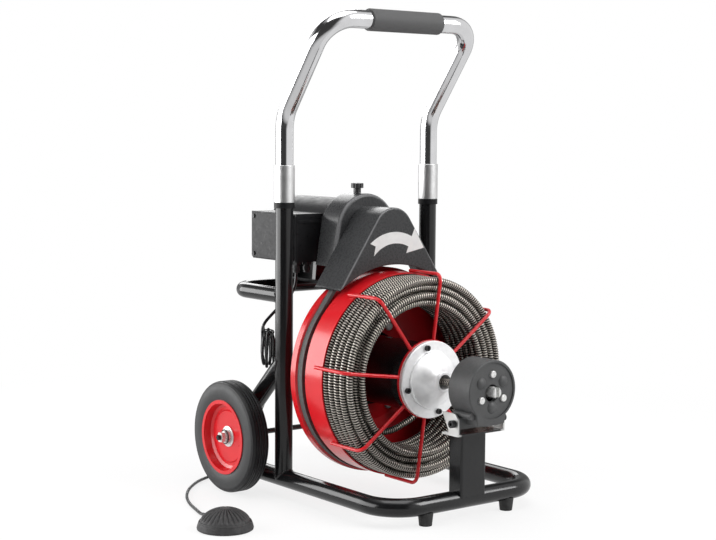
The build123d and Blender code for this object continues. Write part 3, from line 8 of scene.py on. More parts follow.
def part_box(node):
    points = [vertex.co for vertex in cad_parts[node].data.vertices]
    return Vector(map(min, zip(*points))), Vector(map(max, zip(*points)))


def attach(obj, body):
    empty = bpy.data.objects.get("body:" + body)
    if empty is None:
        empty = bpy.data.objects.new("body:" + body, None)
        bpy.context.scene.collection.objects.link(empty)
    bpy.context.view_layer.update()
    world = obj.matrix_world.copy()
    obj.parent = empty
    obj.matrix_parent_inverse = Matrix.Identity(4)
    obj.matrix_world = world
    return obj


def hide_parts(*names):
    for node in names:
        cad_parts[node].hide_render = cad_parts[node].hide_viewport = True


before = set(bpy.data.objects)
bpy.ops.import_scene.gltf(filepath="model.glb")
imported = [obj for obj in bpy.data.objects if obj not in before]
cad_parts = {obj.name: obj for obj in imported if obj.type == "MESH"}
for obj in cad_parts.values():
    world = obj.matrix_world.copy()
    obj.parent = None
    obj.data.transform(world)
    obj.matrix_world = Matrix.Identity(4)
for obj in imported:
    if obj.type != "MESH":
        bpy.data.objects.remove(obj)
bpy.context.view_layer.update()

studio = bpy.context.scene
studio.view_settings.view_transform = "Standard"

# Camera: stands to the left of the front, a little above the cone, and looks almost level.
# Its place and focal length put the tube ends, the wheel and the handle where they are seen.
view_turn, view_lift, view_tilt = math.radians(-37.5), math.radians(5.1), math.radians(0.4)
camera_place = (-1.7181, -2.1556, 0.6554)
focal_px, picture_px, sensor_mm = 1525.0, 716.0, 36.0
view_back = Vector((math.sin(view_turn) * math.cos(view_lift),
                    -math.cos(view_turn) * math.cos(view_lift), math.sin(view_lift)))
view_level = Vector((0, 0, 1)).cross(view_back).normalized()
view_over = view_back.cross(view_level)
view_across = view_level * math.cos(view_tilt) + view_over * math.sin(view_tilt)
view_up = view_over * math.cos(view_tilt) - view_level * math.sin(view_tilt)
camera = bpy.data.objects.new("studio_camera", bpy.data.cameras.new("studio_camera"))
studio.collection.objects.link(camera)
camera.data.sensor_width = sensor_mm
camera.data.lens = focal_px * sensor_mm / picture_px
camera.matrix_world = Matrix((view_across, view_up, view_back)).transposed().to_4x4()
camera.location = camera_place
studio.camera = camera

# Studio: a pale floor that keeps a soft shadow, white behind it, one large soft lamp on the left
# and smaller ones above, in front on the right and behind. Bright metal mirrors a room that is pale
# on the right and behind, and dim elsewhere.
floor_half, floor_level = 7.0, -0.0004
view_away, view_right, straight_up = (0.606, 0.795, 0.0), (0.795, -0.606, 0.0), (0.0, 0.0, 1.0)
floor_mesh = bpy.data.meshes.new("studio_floor")
floor_mesh.from_pydata(
    [(-floor_half, -floor_half, floor_level), (floor_half, -floor_half, floor_level),
     (floor_half, floor_half, floor_level), (-floor_half, floor_half, floor_level)],
    [], [(0, 1, 2, 3)])
studio_floor = bpy.data.objects.new("studio_floor", floor_mesh)
studio.collection.objects.link(studio_floor)


def work_out(tree, operation, *values):
    """One sum in a node tree, on values that are numbers or come from other nodes."""
    made = tree.nodes.new("ShaderNodeMath")
    made.operation = operation
    for value, entry in zip(values, made.inputs):
        if isinstance(value, (int, float)):
            entry.default_value = value
        else:
            tree.links.new(value, entry)
    return made.outputs["Value"]


def ramp(tree, value, start, end, low=0.0, high=1.0, blend="LINEAR"):
    """Carries a value from start..end to low..high, and holds it past both ends."""
    made = tree.nodes.new("ShaderNodeMapRange")
    made.interpolation_type = blend
    for name, amount in (("From Min", start), ("From Max", end), ("To Min", low), ("To Max", high)):
        made.inputs[name].default_value = amount
    tree.links.new(value, made.inputs["Value"])
    return made.outputs["Result"]


def far_out(tree, place):
    """Length of a vector."""
    made = tree.nodes.new("ShaderNodeVectorMath")
    made.operation = "LENGTH"
    tree.links.new(place, made.inputs[0])
    return made.outputs["Value"]


def far_along(tree, place, direction):
    """How far a vector goes along a direction of length 1. For a vector of length 1 it is the cosine
    between the two."""
    made = tree.nodes.new("ShaderNodeVectorMath")
    made.operation = "DOT_PRODUCT"
    made.inputs[1].default_value = direction
    tree.links.new(place, made.inputs[0])
    return made.outputs["Value"]


def ray_kinds(tree):
    """1 for rays from the camera, and 1 for rays that a mirror or glass sends on, in that order."""
    rays = tree.nodes.new("ShaderNodeLightPath").outputs
    sent_on = work_out(tree, "MAXIMUM", rays["Is Glossy Ray"], rays["Is Transmission Ray"])
    return rays["Is Camera Ray"], sent_on


paper = bpy.data.materials.new("white_paper")
paper.use_nodes = True
paper_tree = paper.node_tree
paper_shader, paper_out = paper_tree.nodes["Principled BSDF"], paper_tree.nodes["Material Output"]
paper_shader.inputs["Base Color"].default_value = (0.86, 0.86, 0.86, 1)
paper_shader.inputs["Roughness"].default_value = 0.9
paper_shader.inputs["Specular IOR Level"].default_value = 0.1
paper_glow = paper_tree.nodes.new("ShaderNodeEmission")
paper_mix = paper_tree.nodes.new("ShaderNodeMixShader")
paper_place = paper_tree.nodes.new("ShaderNodeTexCoord").outputs["Object"]
paper_bearing = paper_tree.nodes.new("ShaderNodeVectorMath")
paper_bearing.operation = "NORMALIZE"
paper_tree.links.new(paper_place, paper_bearing.inputs[0])
bearing_away, bearing_right = (far_along(paper_tree, paper_bearing.outputs["Vector"], way)
                               for way in (view_away, view_right))
paper_away, paper_far = far_along(paper_tree, paper_place, view_away), far_out(paper_tree, paper_place)
paper_seen, paper_mirrored = ray_kinds(paper_tree)
paper_shown = work_out(paper_tree, "MULTIPLY", paper_seen,
                       ramp(paper_tree, paper_far, 0.55, 1.5, 0.80, 1.0))
paper_behind = work_out(paper_tree, "MULTIPLY", ramp(paper_tree, paper_away, -0.5, 1.2, 0.06, 0.9),
                        ramp(paper_tree, bearing_away, 0.70, 0.95, 1.0, 0.35))
paper_sides = work_out(paper_tree, "MAXIMUM", paper_behind,
                       ramp(paper_tree, bearing_right, 0.30, 0.65, 0.06, 0.9))
paper_white = work_out(paper_tree, "MAXIMUM", paper_sides,
                       ramp(paper_tree, paper_far, 1.0, 2.2, 0.75, 0.06))
for paper_value, paper_entry in (
        (work_out(paper_tree, "MAXIMUM", paper_seen, paper_white), paper_glow.inputs["Strength"]),
        (work_out(paper_tree, "MAXIMUM", paper_shown, paper_mirrored), paper_mix.inputs["Fac"]),
        (paper_shader.outputs["BSDF"], paper_mix.inputs[1]),
        (paper_glow.outputs["Emission"], paper_mix.inputs[2]),
        (paper_mix.outputs["Shader"], paper_out.inputs["Surface"])):
    paper_tree.links.new(paper_value, paper_entry)
floor_mesh.materials.append(paper)

surround = bpy.data.worlds.new("white_surround")
studio.world = surround
surround.use_nodes = True
sky_tree = surround.node_tree
sky_place = sky_tree.nodes.new("ShaderNodeTexCoord").outputs["Generated"]
sky_away, sky_right, sky_up = (
    far_along(sky_tree, sky_place, way) for way in (view_away, view_right, straight_up))
sky_seen, sky_mirrored = ray_kinds(sky_tree)
sky_behind = work_out(sky_tree, "MULTIPLY",
                      ramp(sky_tree, sky_away, -0.15, 0.45, 0.0, 0.76, "SMOOTHSTEP"),
                      ramp(sky_tree, sky_away, 0.70, 0.95, 1.0, 0.35, "SMOOTHSTEP"))
backdrop = work_out(sky_tree, "MULTIPLY", sky_behind,
                    ramp(sky_tree, sky_up, 0.35, 0.6, 1.0, 0.1, "SMOOTHSTEP"))
ceiling = ramp(sky_tree, sky_up, 0.7, 0.92, 0.0, 0.75, "SMOOTHSTEP")
open_side = ramp(sky_tree, sky_right, 0.30, 0.62, 0.05, 0.92, "SMOOTHSTEP")
room = work_out(sky_tree, "MAXIMUM", work_out(sky_tree, "MAXIMUM", backdrop, ceiling), open_side)
plain_level = 0.24
plain = work_out(sky_tree, "MULTIPLY", work_out(sky_tree, "SUBTRACT", 1.0, sky_mirrored), plain_level)
unseen = work_out(sky_tree, "ADD", work_out(sky_tree, "MULTIPLY", room, sky_mirrored), plain)
sky_light = sky_tree.nodes["Background"]
sky_light.inputs["Color"].default_value = (1, 1, 1, 1)
sky_tree.links.new(work_out(sky_tree, "MAXIMUM", sky_seen, unseen), sky_light.inputs["Strength"])

lamp_aim = Vector((0.0, 0.0, 0.3))
for lamp_name, lamp_place, lamp_size, lamp_power in (
        ("left_softbox", (-1.95, 1.3, 0.68), (3.4, 1.36), 70.0),
        ("top_softbox", (-0.2, -0.2, 2.4), (1.7, 1.7), 26.0),
        ("front_softbox", (1.5, -2.2, 1.9), (1.6, 1.4), 66.0),
        ("back_softbox", (0.9, 2.1, 1.6), (1.2, 1.6), 22.0)):
    lamp = bpy.data.objects.new(lamp_name, bpy.data.lights.new(lamp_name, "AREA"))
    lamp.data.shape = "RECTANGLE"
    lamp.data.size, lamp.data.size_y = lamp_size
    lamp.data.energy = lamp_power
    lamp.location = lamp_place
    lamp.rotation_mode = "QUATERNION"
    lamp.rotation_quaternion = (lamp_aim - Vector(lamp_place)).to_track_quat("-Z", "Y")
    lamp.visible_camera = False
    studio.collection.objects.link(lamp)


# Frame: steel tubes bent and welded into one cart, with the plates that carry the axle, the drum
# bearings and the motor. All of it is powder coated satin black, with a fine orange peel.
def even(finish, socket, amount):
    """Sets a number socket of the shader to the same amount all over."""
    finish.node_tree.nodes["Principled BSDF"].inputs[socket].default_value = amount


def new_finish(name, metal=0.0):
    """A finish with one principled shader. Its colour and its roughness come from tint and feed."""
    made = bpy.data.materials.new(name)
    made.use_nodes = True
    even(made, "Metallic", metal)
    return made


def placed(finish, scale=(1, 1, 1), move=(0, 0, 0)):
    """Object coordinates, scaled along each axis and then moved."""
    tree = finish.node_tree
    mapped = tree.nodes.new("ShaderNodeMapping")
    mapped.inputs["Scale"].default_value, mapped.inputs["Location"].default_value = scale, move
    tree.links.new(tree.nodes.new("ShaderNodeTexCoord").outputs["Object"], mapped.inputs["Vector"])
    return mapped.outputs["Vector"]


def grain(finish, size, detail=3.0, stretch=(1, 1, 1)):
    """Cloudy value on object coordinates, with blobs about size metres wide, or stretch times that along
    each axis."""
    tree = finish.node_tree
    cloud = tree.nodes.new("ShaderNodeTexNoise")
    cloud.inputs["Scale"].default_value = 1.0
    cloud.inputs["Detail"].default_value = detail
    tree.links.new(placed(finish, [1.0 / (size * s) for s in stretch]), cloud.inputs["Vector"])
    return cloud.outputs["Fac"]


def feed(finish, value, socket, low, high, start=0.3, end=0.7):
    """Stretches a value from start..end to low..high and carries it to a number socket of the shader."""
    tree = finish.node_tree
    entry = tree.nodes["Principled BSDF"].inputs[socket]
    tree.links.new(ramp(tree, value, start, end, low, high), entry)


def tint(finish, value, dark, light, start=0.3, end=0.7):
    """Blends the base colour from dark to light as the value goes from start to end."""
    tree = finish.node_tree
    blend = tree.nodes.new("ShaderNodeValToRGB")
    for stop, place, colour in zip(blend.color_ramp.elements, (start, end), (dark, light)):
        stop.position, stop.color = place, (*colour, 1.0)
    tree.links.new(value, blend.inputs["Fac"])
    tree.links.new(blend.outputs["Color"], tree.nodes["Principled BSDF"].inputs["Base Color"])


def relief(finish, value, depth):
    """Raises the surface by depth metres where the value is 1, on top of any relief that it has."""
    tree = finish.node_tree
    shader = tree.nodes["Principled BSDF"]
    dent = tree.nodes.new("ShaderNodeBump")
    dent.inputs["Strength"].default_value = 1.0
    dent.inputs["Distance"].default_value = depth
    tree.links.new(value, dent.inputs["Height"])
    if shader.inputs["Normal"].is_linked:
        tree.links.new(shader.inputs["Normal"].links[0].from_socket, dent.inputs["Normal"])
    tree.links.new(dent.outputs["Normal"], shader.inputs["Normal"])


def coat(finish, *names):
    """Gives these CAD nodes the finish."""
    for name in names:
        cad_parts[name].data.materials.clear()
        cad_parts[name].data.materials.append(finish)


powder_black = new_finish("powder_black")
tint(powder_black, grain(powder_black, 0.05), (0.0055, 0.0055, 0.006), (0.009, 0.009, 0.0096))
feed(powder_black, grain(powder_black, 0.03, 4.0), "Roughness", 0.13, 0.21)
relief(powder_black, grain(powder_black, 0.0022, 2.0), 0.000012)
even(powder_black, "Specular IOR Level", 0.46)
coat(powder_black, "base_tube", "left_upright", "right_upright", "rear_bumper", "axle_gussets",
     "bearing_beam", "motor_plate")


# Welds: a fillet bead runs round each joint of the tubes, under the same powder coat.
# It lies in the coped line where one round tube meets another.
def fix_mesh(name, points, finish, coords=None, round_about=True, ring=False):
    """Mesh over a grid of points in rows and columns. Each cell is one quad, and the last column meets
    the first where round_about is true. The last row then meets the first where ring is true; otherwise
    the first and the last row are each closed by one flat face. coords holds u for the rows and v for
    the columns."""
    rows, columns = points.shape[:2]
    cells = columns if round_about else columns - 1
    i, j = np.meshgrid(np.arange(rows if ring else rows - 1), np.arange(cells), indexing="ij")
    k, n = (j + 1) % columns, (i + 1) % rows
    quads = np.stack([i * columns + j, i * columns + k, n * columns + k, n * columns + j], -1)
    ends = []
    if round_about and not ring:
        ends = [np.arange(columns)[::-1].tolist(), (np.arange(columns) + (rows - 1) * columns).tolist()]
    mesh = bpy.data.meshes.new(name)
    mesh.from_pydata(points.reshape(-1, 3).tolist(), [], quads.reshape(-1, 4).tolist() + ends)
    if coords is not None:
        u, v = coords
        corner = np.stack([np.stack([u[i], v[j]], -1), np.stack([u[i], v[j + 1]], -1),
                           np.stack([u[i + 1], v[j + 1]], -1), np.stack([u[i + 1], v[j]], -1)], -2)
        mesh.uv_layers.new(name="along")
        spread = np.concatenate([corner.ravel(), np.zeros(2 * sum(map(len, ends)))])
        mesh.uv_layers["along"].data.foreach_set("uv", spread.astype(np.float32))
    mesh.shade_smooth()
    mesh.materials.append(finish)
    made = bpy.data.objects.new(name, mesh)
    studio.collection.objects.link(made)
    return made


def tube_grid(line, side, radius, sides, ring=False):
    """Points round a line: circles of the given radius, one for each point, that start at the side
    vector. The line's end meets its start where ring is true."""
    run = np.roll(line, -1, 0) - np.roll(line, 1, 0) if ring else np.gradient(line, axis=0)
    run /= np.linalg.norm(run, axis=1)[:, None]
    out = side - (side * run).sum(1)[:, None] * run
    out /= np.linalg.norm(out, axis=1)[:, None]
    about = np.arange(sides)[:, None] * 2 * np.pi / sides
    circle = np.cos(about) * out[:, None] + np.sin(about) * np.cross(run, out)[:, None]
    return line[:, None] + np.broadcast_to(radius, (len(line),))[:, None, None] * circle


tube_radius, bumper_radius, bead_radius, upright_x, upright_y = 0.016, 0.014, 0.0023, 0.167, 0.083
brace_level, brace_slope, bumper_level, foot_level = 0.248, 0.975, 0.365, 0.034
bead_points, bead_sides, ripple_count, ripple_share = 144, 8, 22, 0.14
# Each bead runs round its tube, at the distance along it where that tube meets the other one.
bead_angle = np.arange(bead_points) * 2 * np.pi / bead_points
across_bead, along_bead = np.cos(bead_angle), np.sin(bead_angle)
bead_width = bead_radius * (1 + ripple_share * np.sin(ripple_count * bead_angle))
brace_run = np.array([0.0, 1.0, -brace_slope]) / math.hypot(1.0, brace_slope)
brace_over = np.cross(brace_run, (1.0, 0.0, 0.0))
brace_reach = tube_radius * (np.abs(along_bead) - along_bead * brace_over[1]) / brace_run[1]
brace_bead = (np.outer(brace_reach, brace_run) + tube_radius * np.outer(along_bead, brace_over)
              + np.outer(tube_radius * across_bead, (1.0, 0.0, 0.0)) + (0, 0, brace_level))
bumper_reach = np.sqrt(tube_radius ** 2 - (bumper_radius * across_bead) ** 2)
bumper_bead = np.stack([bumper_radius * across_bead, bumper_reach,
                        bumper_level + bumper_radius * along_bead], -1)
foot_bead = np.stack([tube_radius * across_bead, tube_radius * along_bead,
                      foot_level + tube_radius * np.abs(along_bead)], -1)
for joint_name, joint_line in (("brace", brace_bead), ("bumper", bumper_bead), ("upright", foot_bead)):
    bead_out = joint_line - joint_line.mean(0)
    for hand, x in (("left", -upright_x), ("right", upright_x)):
        bead_grid = tube_grid(joint_line + (x, upright_y, 0), bead_out, bead_width, bead_sides, True)
        bead = fix_mesh(f"{hand}_{joint_name}_weld", bead_grid, powder_black, ring=True)
        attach(bead, "frame")

# Front feet: two moulded rubber pads pressed under the front bar.
# Soft black rubber, a little dusty.
foot_rubber = new_finish("foot_rubber")
tint(foot_rubber, grain(foot_rubber, 0.006), (0.014, 0.014, 0.014), (0.03, 0.03, 0.03))
feed(foot_rubber, grain(foot_rubber, 0.01), "Roughness", 0.65, 0.85)
relief(foot_rubber, grain(foot_rubber, 0.0008), 0.00006)
coat(foot_rubber, "front_feet")

# Axle: a black steel bar through both gussets. Its nuts and washers, and the bearings pressed
# into the wheels, are bright zinc plated, faintly clouded as plating is.
coat(powder_black, "axle")
zinc = new_finish("zinc_plate", 0.6)
tint(zinc, grain(zinc, 0.006, 5.0), (0.62, 0.62, 0.62), (0.80, 0.80, 0.78))
feed(zinc, grain(zinc, 0.004, 5.0), "Roughness", 0.24, 0.42)
relief(zinc, grain(zinc, 0.0012, 2.0), 0.00002)
coat(zinc, "axle_nuts", "left_wheel_hub", "right_wheel_hub")


# Wheels: pressed steel rims with a deep dish, sprayed gloss red, under solid rubber tyres
# with a finely grooved tread. The tyre walls keep the fine lathe rings of the mould.
def waves(finish, place, pitch):
    """Pattern that rises and falls once every pitch metres. At a scale of 1 its wave is a tenth of pi
    wide."""
    tree = finish.node_tree
    made = tree.nodes.new("ShaderNodeTexWave")
    made.inputs["Scale"].default_value = math.pi / 10 / pitch
    tree.links.new(place, made.inputs["Vector"])
    return made


def rings(finish, axis, centre, pitch):
    """Value that rises and falls once every pitch metres out from a line along axis through centre."""
    made = waves(finish, placed(finish, move=[-c for c in centre]), pitch)
    made.wave_type, made.rings_direction = "RINGS", axis
    return made.outputs["Fac"]


def reach(finish, axis, centre, near, far):
    """Value that is 0 up to near metres from a line along axis through centre, and 1 from far on."""
    across = [float(a != axis) for a in "XYZ"]
    place = placed(finish, across, [-c * a for c, a in zip(centre, across)])
    return ramp(finish.node_tree, far_out(finish.node_tree, place), near, far)


def tread_bands(finish, pitch, where):
    """Value that rises and falls once every pitch metres along the axle, times the other value."""
    bands = waves(finish, placed(finish), pitch).outputs["Fac"]
    return work_out(finish.node_tree, "MULTIPLY", bands, where)


def mottled(finish, value, cloud, strength):
    """The value with a cloudy one, less its mean of a half, added at that strength."""
    level = work_out(finish.node_tree, "ADD", value, -0.5 * strength)
    return work_out(finish.node_tree, "MULTIPLY_ADD", cloud, strength, level)


wheel_line, tread_pitch = (0.0, 0.174, 0.102), 0.0055
wall_edge, tread_edge = (0.0925, 0.0965), (0.0975, 0.099)
red_gloss = new_finish("red_gloss")
tint(red_gloss, grain(red_gloss, 0.08), (0.54, 0.008, 0.013), (0.62, 0.012, 0.018))
feed(red_gloss, grain(red_gloss, 0.02, 4.0), "Roughness", 0.26, 0.38)
relief(red_gloss, grain(red_gloss, 0.0022, 2.0), 0.00002)
even(red_gloss, "Specular IOR Level", 0.1)
even(red_gloss, "Coat Weight", 0.75)
even(red_gloss, "Coat Roughness", 0.17)
coat(red_gloss, "left_rim", "right_rim")
tyre_rubber = new_finish("tyre_rubber")
# Painted shade: the tread is coloured darker than the walls of the same rubber, with a cloudy mottle.
tread_painted_shade = mottled(tyre_rubber, reach(tyre_rubber, "X", wheel_line, *wall_edge),
                    grain(tyre_rubber, 0.02, 5.0), 0.5)
tint(tyre_rubber, tread_painted_shade, (0.036, 0.037, 0.038), (0.010, 0.010, 0.011), 0.0, 1.0)
feed(tyre_rubber, grain(tyre_rubber, 0.012), "Roughness", 0.38, 0.50)
relief(tyre_rubber, rings(tyre_rubber, "X", wheel_line, 0.0011), 0.00002)
tyre_tread = tread_bands(tyre_rubber, tread_pitch, reach(tyre_rubber, "X", wheel_line, *tread_edge))
relief(tyre_rubber, tyre_tread, 0.0010)
relief(tyre_rubber, grain(tyre_rubber, 0.0009), 0.00003)
even(tyre_rubber, "Specular IOR Level", 0.3)
coat(tyre_rubber, "left_tyre", "right_tyre")


# Wheel bearing seals: a black rubber lip seal pressed into each end of a hub, round the axle washer.
# Each is a shallow dished ring, a hair proud of the hub's end face.
def turned_grid(profile, middle, along, across, over, sides):
    """Points of a profile turned about a line through middle. Each row of the profile holds a radius and
    a height along the line, and the columns go round from the across direction towards the over one."""
    about = np.arange(sides)[:, None] * 2 * np.pi / sides
    circle = np.cos(about) * across + np.sin(about) * over
    return middle + profile[:, :1, None] * circle + profile[:, 1:, None] * np.array(along)


seal_inner, seal_outer, seal_high, seal_sink, seal_sides = 0.0116, 0.0136, 0.0006, 0.0004, 72
seal_profile = np.array([
    (seal_outer, -seal_sink), (seal_outer, 0.6 * seal_high), (seal_outer - seal_high, seal_high),
    (0.5 * (seal_inner + seal_outer), 0.5 * seal_high), (seal_inner, seal_high),
    (seal_inner, -seal_sink)])
for hand, outward in (("left", -1), ("right", 1)):
    hub_low, hub_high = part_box(f"{hand}_wheel_hub")
    hub_end = ((hub_low if outward < 0 else hub_high)[0], *wheel_line[1:])
    seal_grid = turned_grid(seal_profile, hub_end, (outward, 0, 0), (0, outward, 0), (0, 0, 1),
                            seal_sides)
    seal = fix_mesh(f"{hand}_hub_seal", seal_grid, foot_rubber, ring=True)
    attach(seal, f"{hand}_wheel")

# Drum: a spun steel shell with a belt groove, bolted to a hub that turns in two ball bearings.
# Sprayed gloss red like the rims; the hub, its collar and the three bolts are zinc plated.
coat(red_gloss, "drum_shell", "drum_cage")
coat(zinc, "drum_hub", "shaft_collar")
bolt_zinc = new_finish("bolt_zinc", 0.35)
tint(bolt_zinc, grain(bolt_zinc, 0.004, 5.0), (0.50, 0.50, 0.50), (0.66, 0.66, 0.65))
feed(bolt_zinc, grain(bolt_zinc, 0.003, 5.0), "Roughness", 0.36, 0.52)
coat(bolt_zinc, "drum_bolts")
ground_steel = new_finish("ground_steel", 1.0)
tint(ground_steel, grain(ground_steel, 0.003, 4.0), (0.48, 0.48, 0.49), (0.62, 0.62, 0.62))
feed(ground_steel, grain(ground_steel, 0.002), "Roughness", 0.15, 0.30)
coat(ground_steel, "drum_bearings")

# Drum core: a black plastic drum inside the coil, with a window where the cable goes through.
# Semi gloss, so that it mirrors the red back of the shell.
core_plastic = new_finish("core_plastic")
tint(core_plastic, grain(core_plastic, 0.04), (0.009, 0.009, 0.01), (0.016, 0.016, 0.017))
feed(core_plastic, grain(core_plastic, 0.02), "Roughness", 0.09, 0.16)
relief(core_plastic, grain(core_plastic, 0.01), 0.00002)
coat(core_plastic, "drum_core")

# Cone hub: turned aluminium casting that guides the cable into the head, held by four cap screws.
# Fine lathe rings run round the drum axis.
drum_line = (0.0, 0.0, 0.2263)
turned_alloy = new_finish("turned_alloy", 0.6)
tint(turned_alloy, grain(turned_alloy, 0.01, 5.0), (0.82, 0.82, 0.83), (0.92, 0.92, 0.92))
feed(turned_alloy, rings(turned_alloy, "Y", drum_line, 0.0016), "Roughness", 0.40, 0.54, 0.0, 1.0)
relief(turned_alloy, rings(turned_alloy, "Y", drum_line, 0.0009), 0.000012)
coat(turned_alloy, "cone_hub")
black_oxide = new_finish("black_oxide", 0.6)
tint(black_oxide, grain(black_oxide, 0.003), (0.02, 0.02, 0.021), (0.045, 0.045, 0.046))
feed(black_oxide, grain(black_oxide, 0.002), "Roughness", 0.32, 0.5)
coat(black_oxide, "cone_screws")


# Drain cable: spring wire wound close round a core, 12.7 mm thick, lying in the drum in four layers
# from the outside in, then through the core's window to the drum axis and out through the cone.
# Oiled dark between the turns of wire and rubbed bright on their crowns, with painted shade in the
# grooves and a painted highlight on the crowns.
def spring_tube(name, line, side, length, finish):
    """Tube round a line with one ridge that climbs round it once per wire turn: the radius falls by the
    ridge height as the cosine of length over pitch plus the angle about the line. side is a vector
    across the line at each point, and length the way along the cable there."""
    about = np.arange(cable_sides) * 2 * np.pi / cable_sides
    phase = 2 * np.pi * length[:, None] / wire_pitch + about[None, :]
    depth = wire_groove * 0.5 * (1.0 - np.cos(phase))
    rim = tube_grid(line, side, cable_radius, cable_sides)
    grid = rim + (line[:, None] - rim) * (depth / cable_radius)[..., None]
    return fix_mesh(name, grid, finish, (length / wire_pitch, np.arange(cable_sides + 1) / cable_sides))


def smooth_line(name, route, steps):
    """Open NURBS spline of order 3 with the route as its control points, as a curve object's data."""
    curve = bpy.data.curves.new(name, "CURVE")
    curve.dimensions = "3D"
    spline = curve.splines.new("NURBS")
    spline.points.add(len(route) - 1)
    spline.points.foreach_set("co", np.c_[route, np.ones(len(route))].ravel())
    spline.order_u = 3
    spline.use_endpoint_u = True
    curve.resolution_u = steps
    return curve


def points_of(curve):
    """The points of a curve with no bevel, in order from its start."""
    holder = bpy.data.objects.new("line_only", curve)
    mesh = bpy.data.meshes.new_from_object(holder)
    places = np.empty(len(mesh.vertices) * 3)
    mesh.vertices.foreach_get("co", places)
    bpy.data.objects.remove(holder)
    bpy.data.meshes.remove(mesh)
    return places.reshape(-1, 3)


def wire_crown(finish):
    """1 on the crowns of the wire and -1 between its turns: the cosine of the turns of wire along the
    cable plus the turns about it, both read from the map that is named along."""
    tree = finish.node_tree
    coords, parts = tree.nodes.new("ShaderNodeUVMap"), tree.nodes.new("ShaderNodeSeparateXYZ")
    coords.uv_map = "along"
    tree.links.new(coords.outputs["UV"], parts.inputs["Vector"])
    turns = work_out(tree, "ADD", parts.outputs["X"], parts.outputs["Y"])
    return work_out(tree, "COSINE", work_out(tree, "MULTIPLY", turns, 2 * math.pi))


cable_radius, wire_pitch, wire_groove, cable_sides, rings_per_turn = 0.00635, 0.0047, 0.0017, 10, 4
outer_radius, layer_step, strand_step, front_strand = 0.17365, 0.0133, 0.0159, -0.11365
layers, strand_turns, layer_turns = 4, 11, 12
rear_strand = front_strand + strand_step * strand_turns / 2
last_layer, last_fall, last_back, last_angle = layers - 1, 0.030, 0.004, math.radians(-82.0)
turn_step, line_steps = 1 / 8, 8
drum_axis = np.array(drum_line)
# The control points stand a little outside the circle that the spline then follows.
bow_out = 1 / (0.75 + 0.25 * math.cos(math.pi * turn_step))
# The cable goes by half turns: eleven along each layer and one in which it falls to the next layer.
half_turn = np.arange(turn_step / 2, layers * layer_turns, turn_step)
layer, in_layer = np.divmod(half_turn, layer_turns)
change = np.clip(in_layer - strand_turns, 0, 1)
fall = layer_step * (layer + 0.5 * (1 - np.cos(np.pi * change)))
fall = np.where((layer == last_layer) & (change > 0),
                last_layer * layer_step + last_fall * change ** 2.3, fall)
share = np.clip(in_layer / strand_turns, 0, 1)
depth = rear_strand + (front_strand - rear_strand) * np.where(layer % 2 == 0, share, 1 - share)
depth = depth + np.where(layer == last_layer, last_back * change ** 2, 0)
coil_angle = last_angle - np.pi * (layers * layer_turns - half_turn)
coil_radius = (outer_radius - fall) * bow_out
coil_route = drum_axis + np.stack(
    [coil_radius * np.cos(coil_angle), depth, coil_radius * np.sin(coil_angle)], -1)
out_way = np.array([math.cos(last_angle), 0.0, math.sin(last_angle)])
round_way = np.array([-out_way[2], 0.0, out_way[0]])
leave_radius, leave_depth = outer_radius - last_layer * layer_step - last_fall, rear_strand + last_back
leave_angle, leave_run = math.radians(12.0), 0.020
leave_way = round_way * math.cos(leave_angle) - out_way * math.sin(leave_angle)
coil_end = drum_axis + out_way * leave_radius + (0, leave_depth, 0) + leave_way * 2 * cable_radius
# Each row of the lead: how far out from the drum axis, how far round, and how far back.
lead_steps = np.array([
    (leave_radius - 0.019, 0.057, leave_depth + 0.0015),
    (leave_radius - 0.045, 0.069, leave_depth + 0.003),
    (leave_radius - 0.074, 0.063, leave_depth + 0.001),
    (0.008, 0.043, leave_depth - 0.0085), (0.0, 0.016, leave_depth - 0.027),
    (0.0, 0.0, leave_depth - 0.056), (0.0, 0.0, -0.262)])
lead_route = drum_axis + np.outer(lead_steps[:, 0], out_way) + np.outer(lead_steps[:, 1], round_way)
lead_route[:, 1] += lead_steps[:, 2]
cable_route = np.concatenate([coil_route, [coil_end, coil_end + leave_way * leave_run], lead_route])
cable_line = points_of(smooth_line("drain_cable_line", cable_route, line_steps))
line_length = np.concatenate([[0], np.cumsum(np.linalg.norm(np.diff(cable_line, axis=0), axis=1))])
ring_length = np.arange(0, line_length[-1], wire_pitch / rings_per_turn)
ring_place = np.stack([np.interp(ring_length, line_length, cable_line[:, a]) for a in range(3)], -1)
layer_point = np.arange(layers + 1) * layer_turns / turn_step * line_steps
coil_length = np.interp(layer_point, np.arange(len(line_length)), line_length)
spring_wire = new_finish("spring_wire", 0.6)
crown_shade_and_highlight = wire_crown(spring_wire)
# Painted shade and highlight: near black between the turns of wire, pale on their crowns, along with oil
# and rubbing.
tint(spring_wire, crown_shade_and_highlight, (0.006, 0.005, 0.004), (0.76, 0.70, 0.63), 0.28, 0.94)
feed(spring_wire, crown_shade_and_highlight, "Roughness", 0.6, 0.26, -0.5, 0.8)
relief(spring_wire, grain(spring_wire, 0.0008), 0.00005)
ring_side = ring_place - drum_axis
ring_side[:, 1] = 0.0
lead_blend = 0.06
into_lead = np.clip((ring_length - coil_length[layers]) / lead_blend, 0, 1)[:, None]
ring_side = np.where(into_lead > 0, out_way + into_lead * (0.0, 1.0, 0.0), ring_side)
cable_cuts = [*np.searchsorted(ring_length, coil_length), len(ring_length)]
for piece, (first, last) in enumerate(zip(cable_cuts, cable_cuts[1:])):
    piece_name = f"drain_cable_layer_{piece + 1}" if piece < layers else "drain_cable_lead"
    part_of = slice(first, min(last + 1, len(ring_length)))
    wound = spring_tube(piece_name, ring_place[part_of], ring_side[part_of], ring_length[part_of],
                        spring_wire)
    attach(wound, "drum")
    if piece in (0, layers):
        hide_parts("drain_cable" if piece == 0 else "cable_lead")
coat(zinc, "cable_tip")
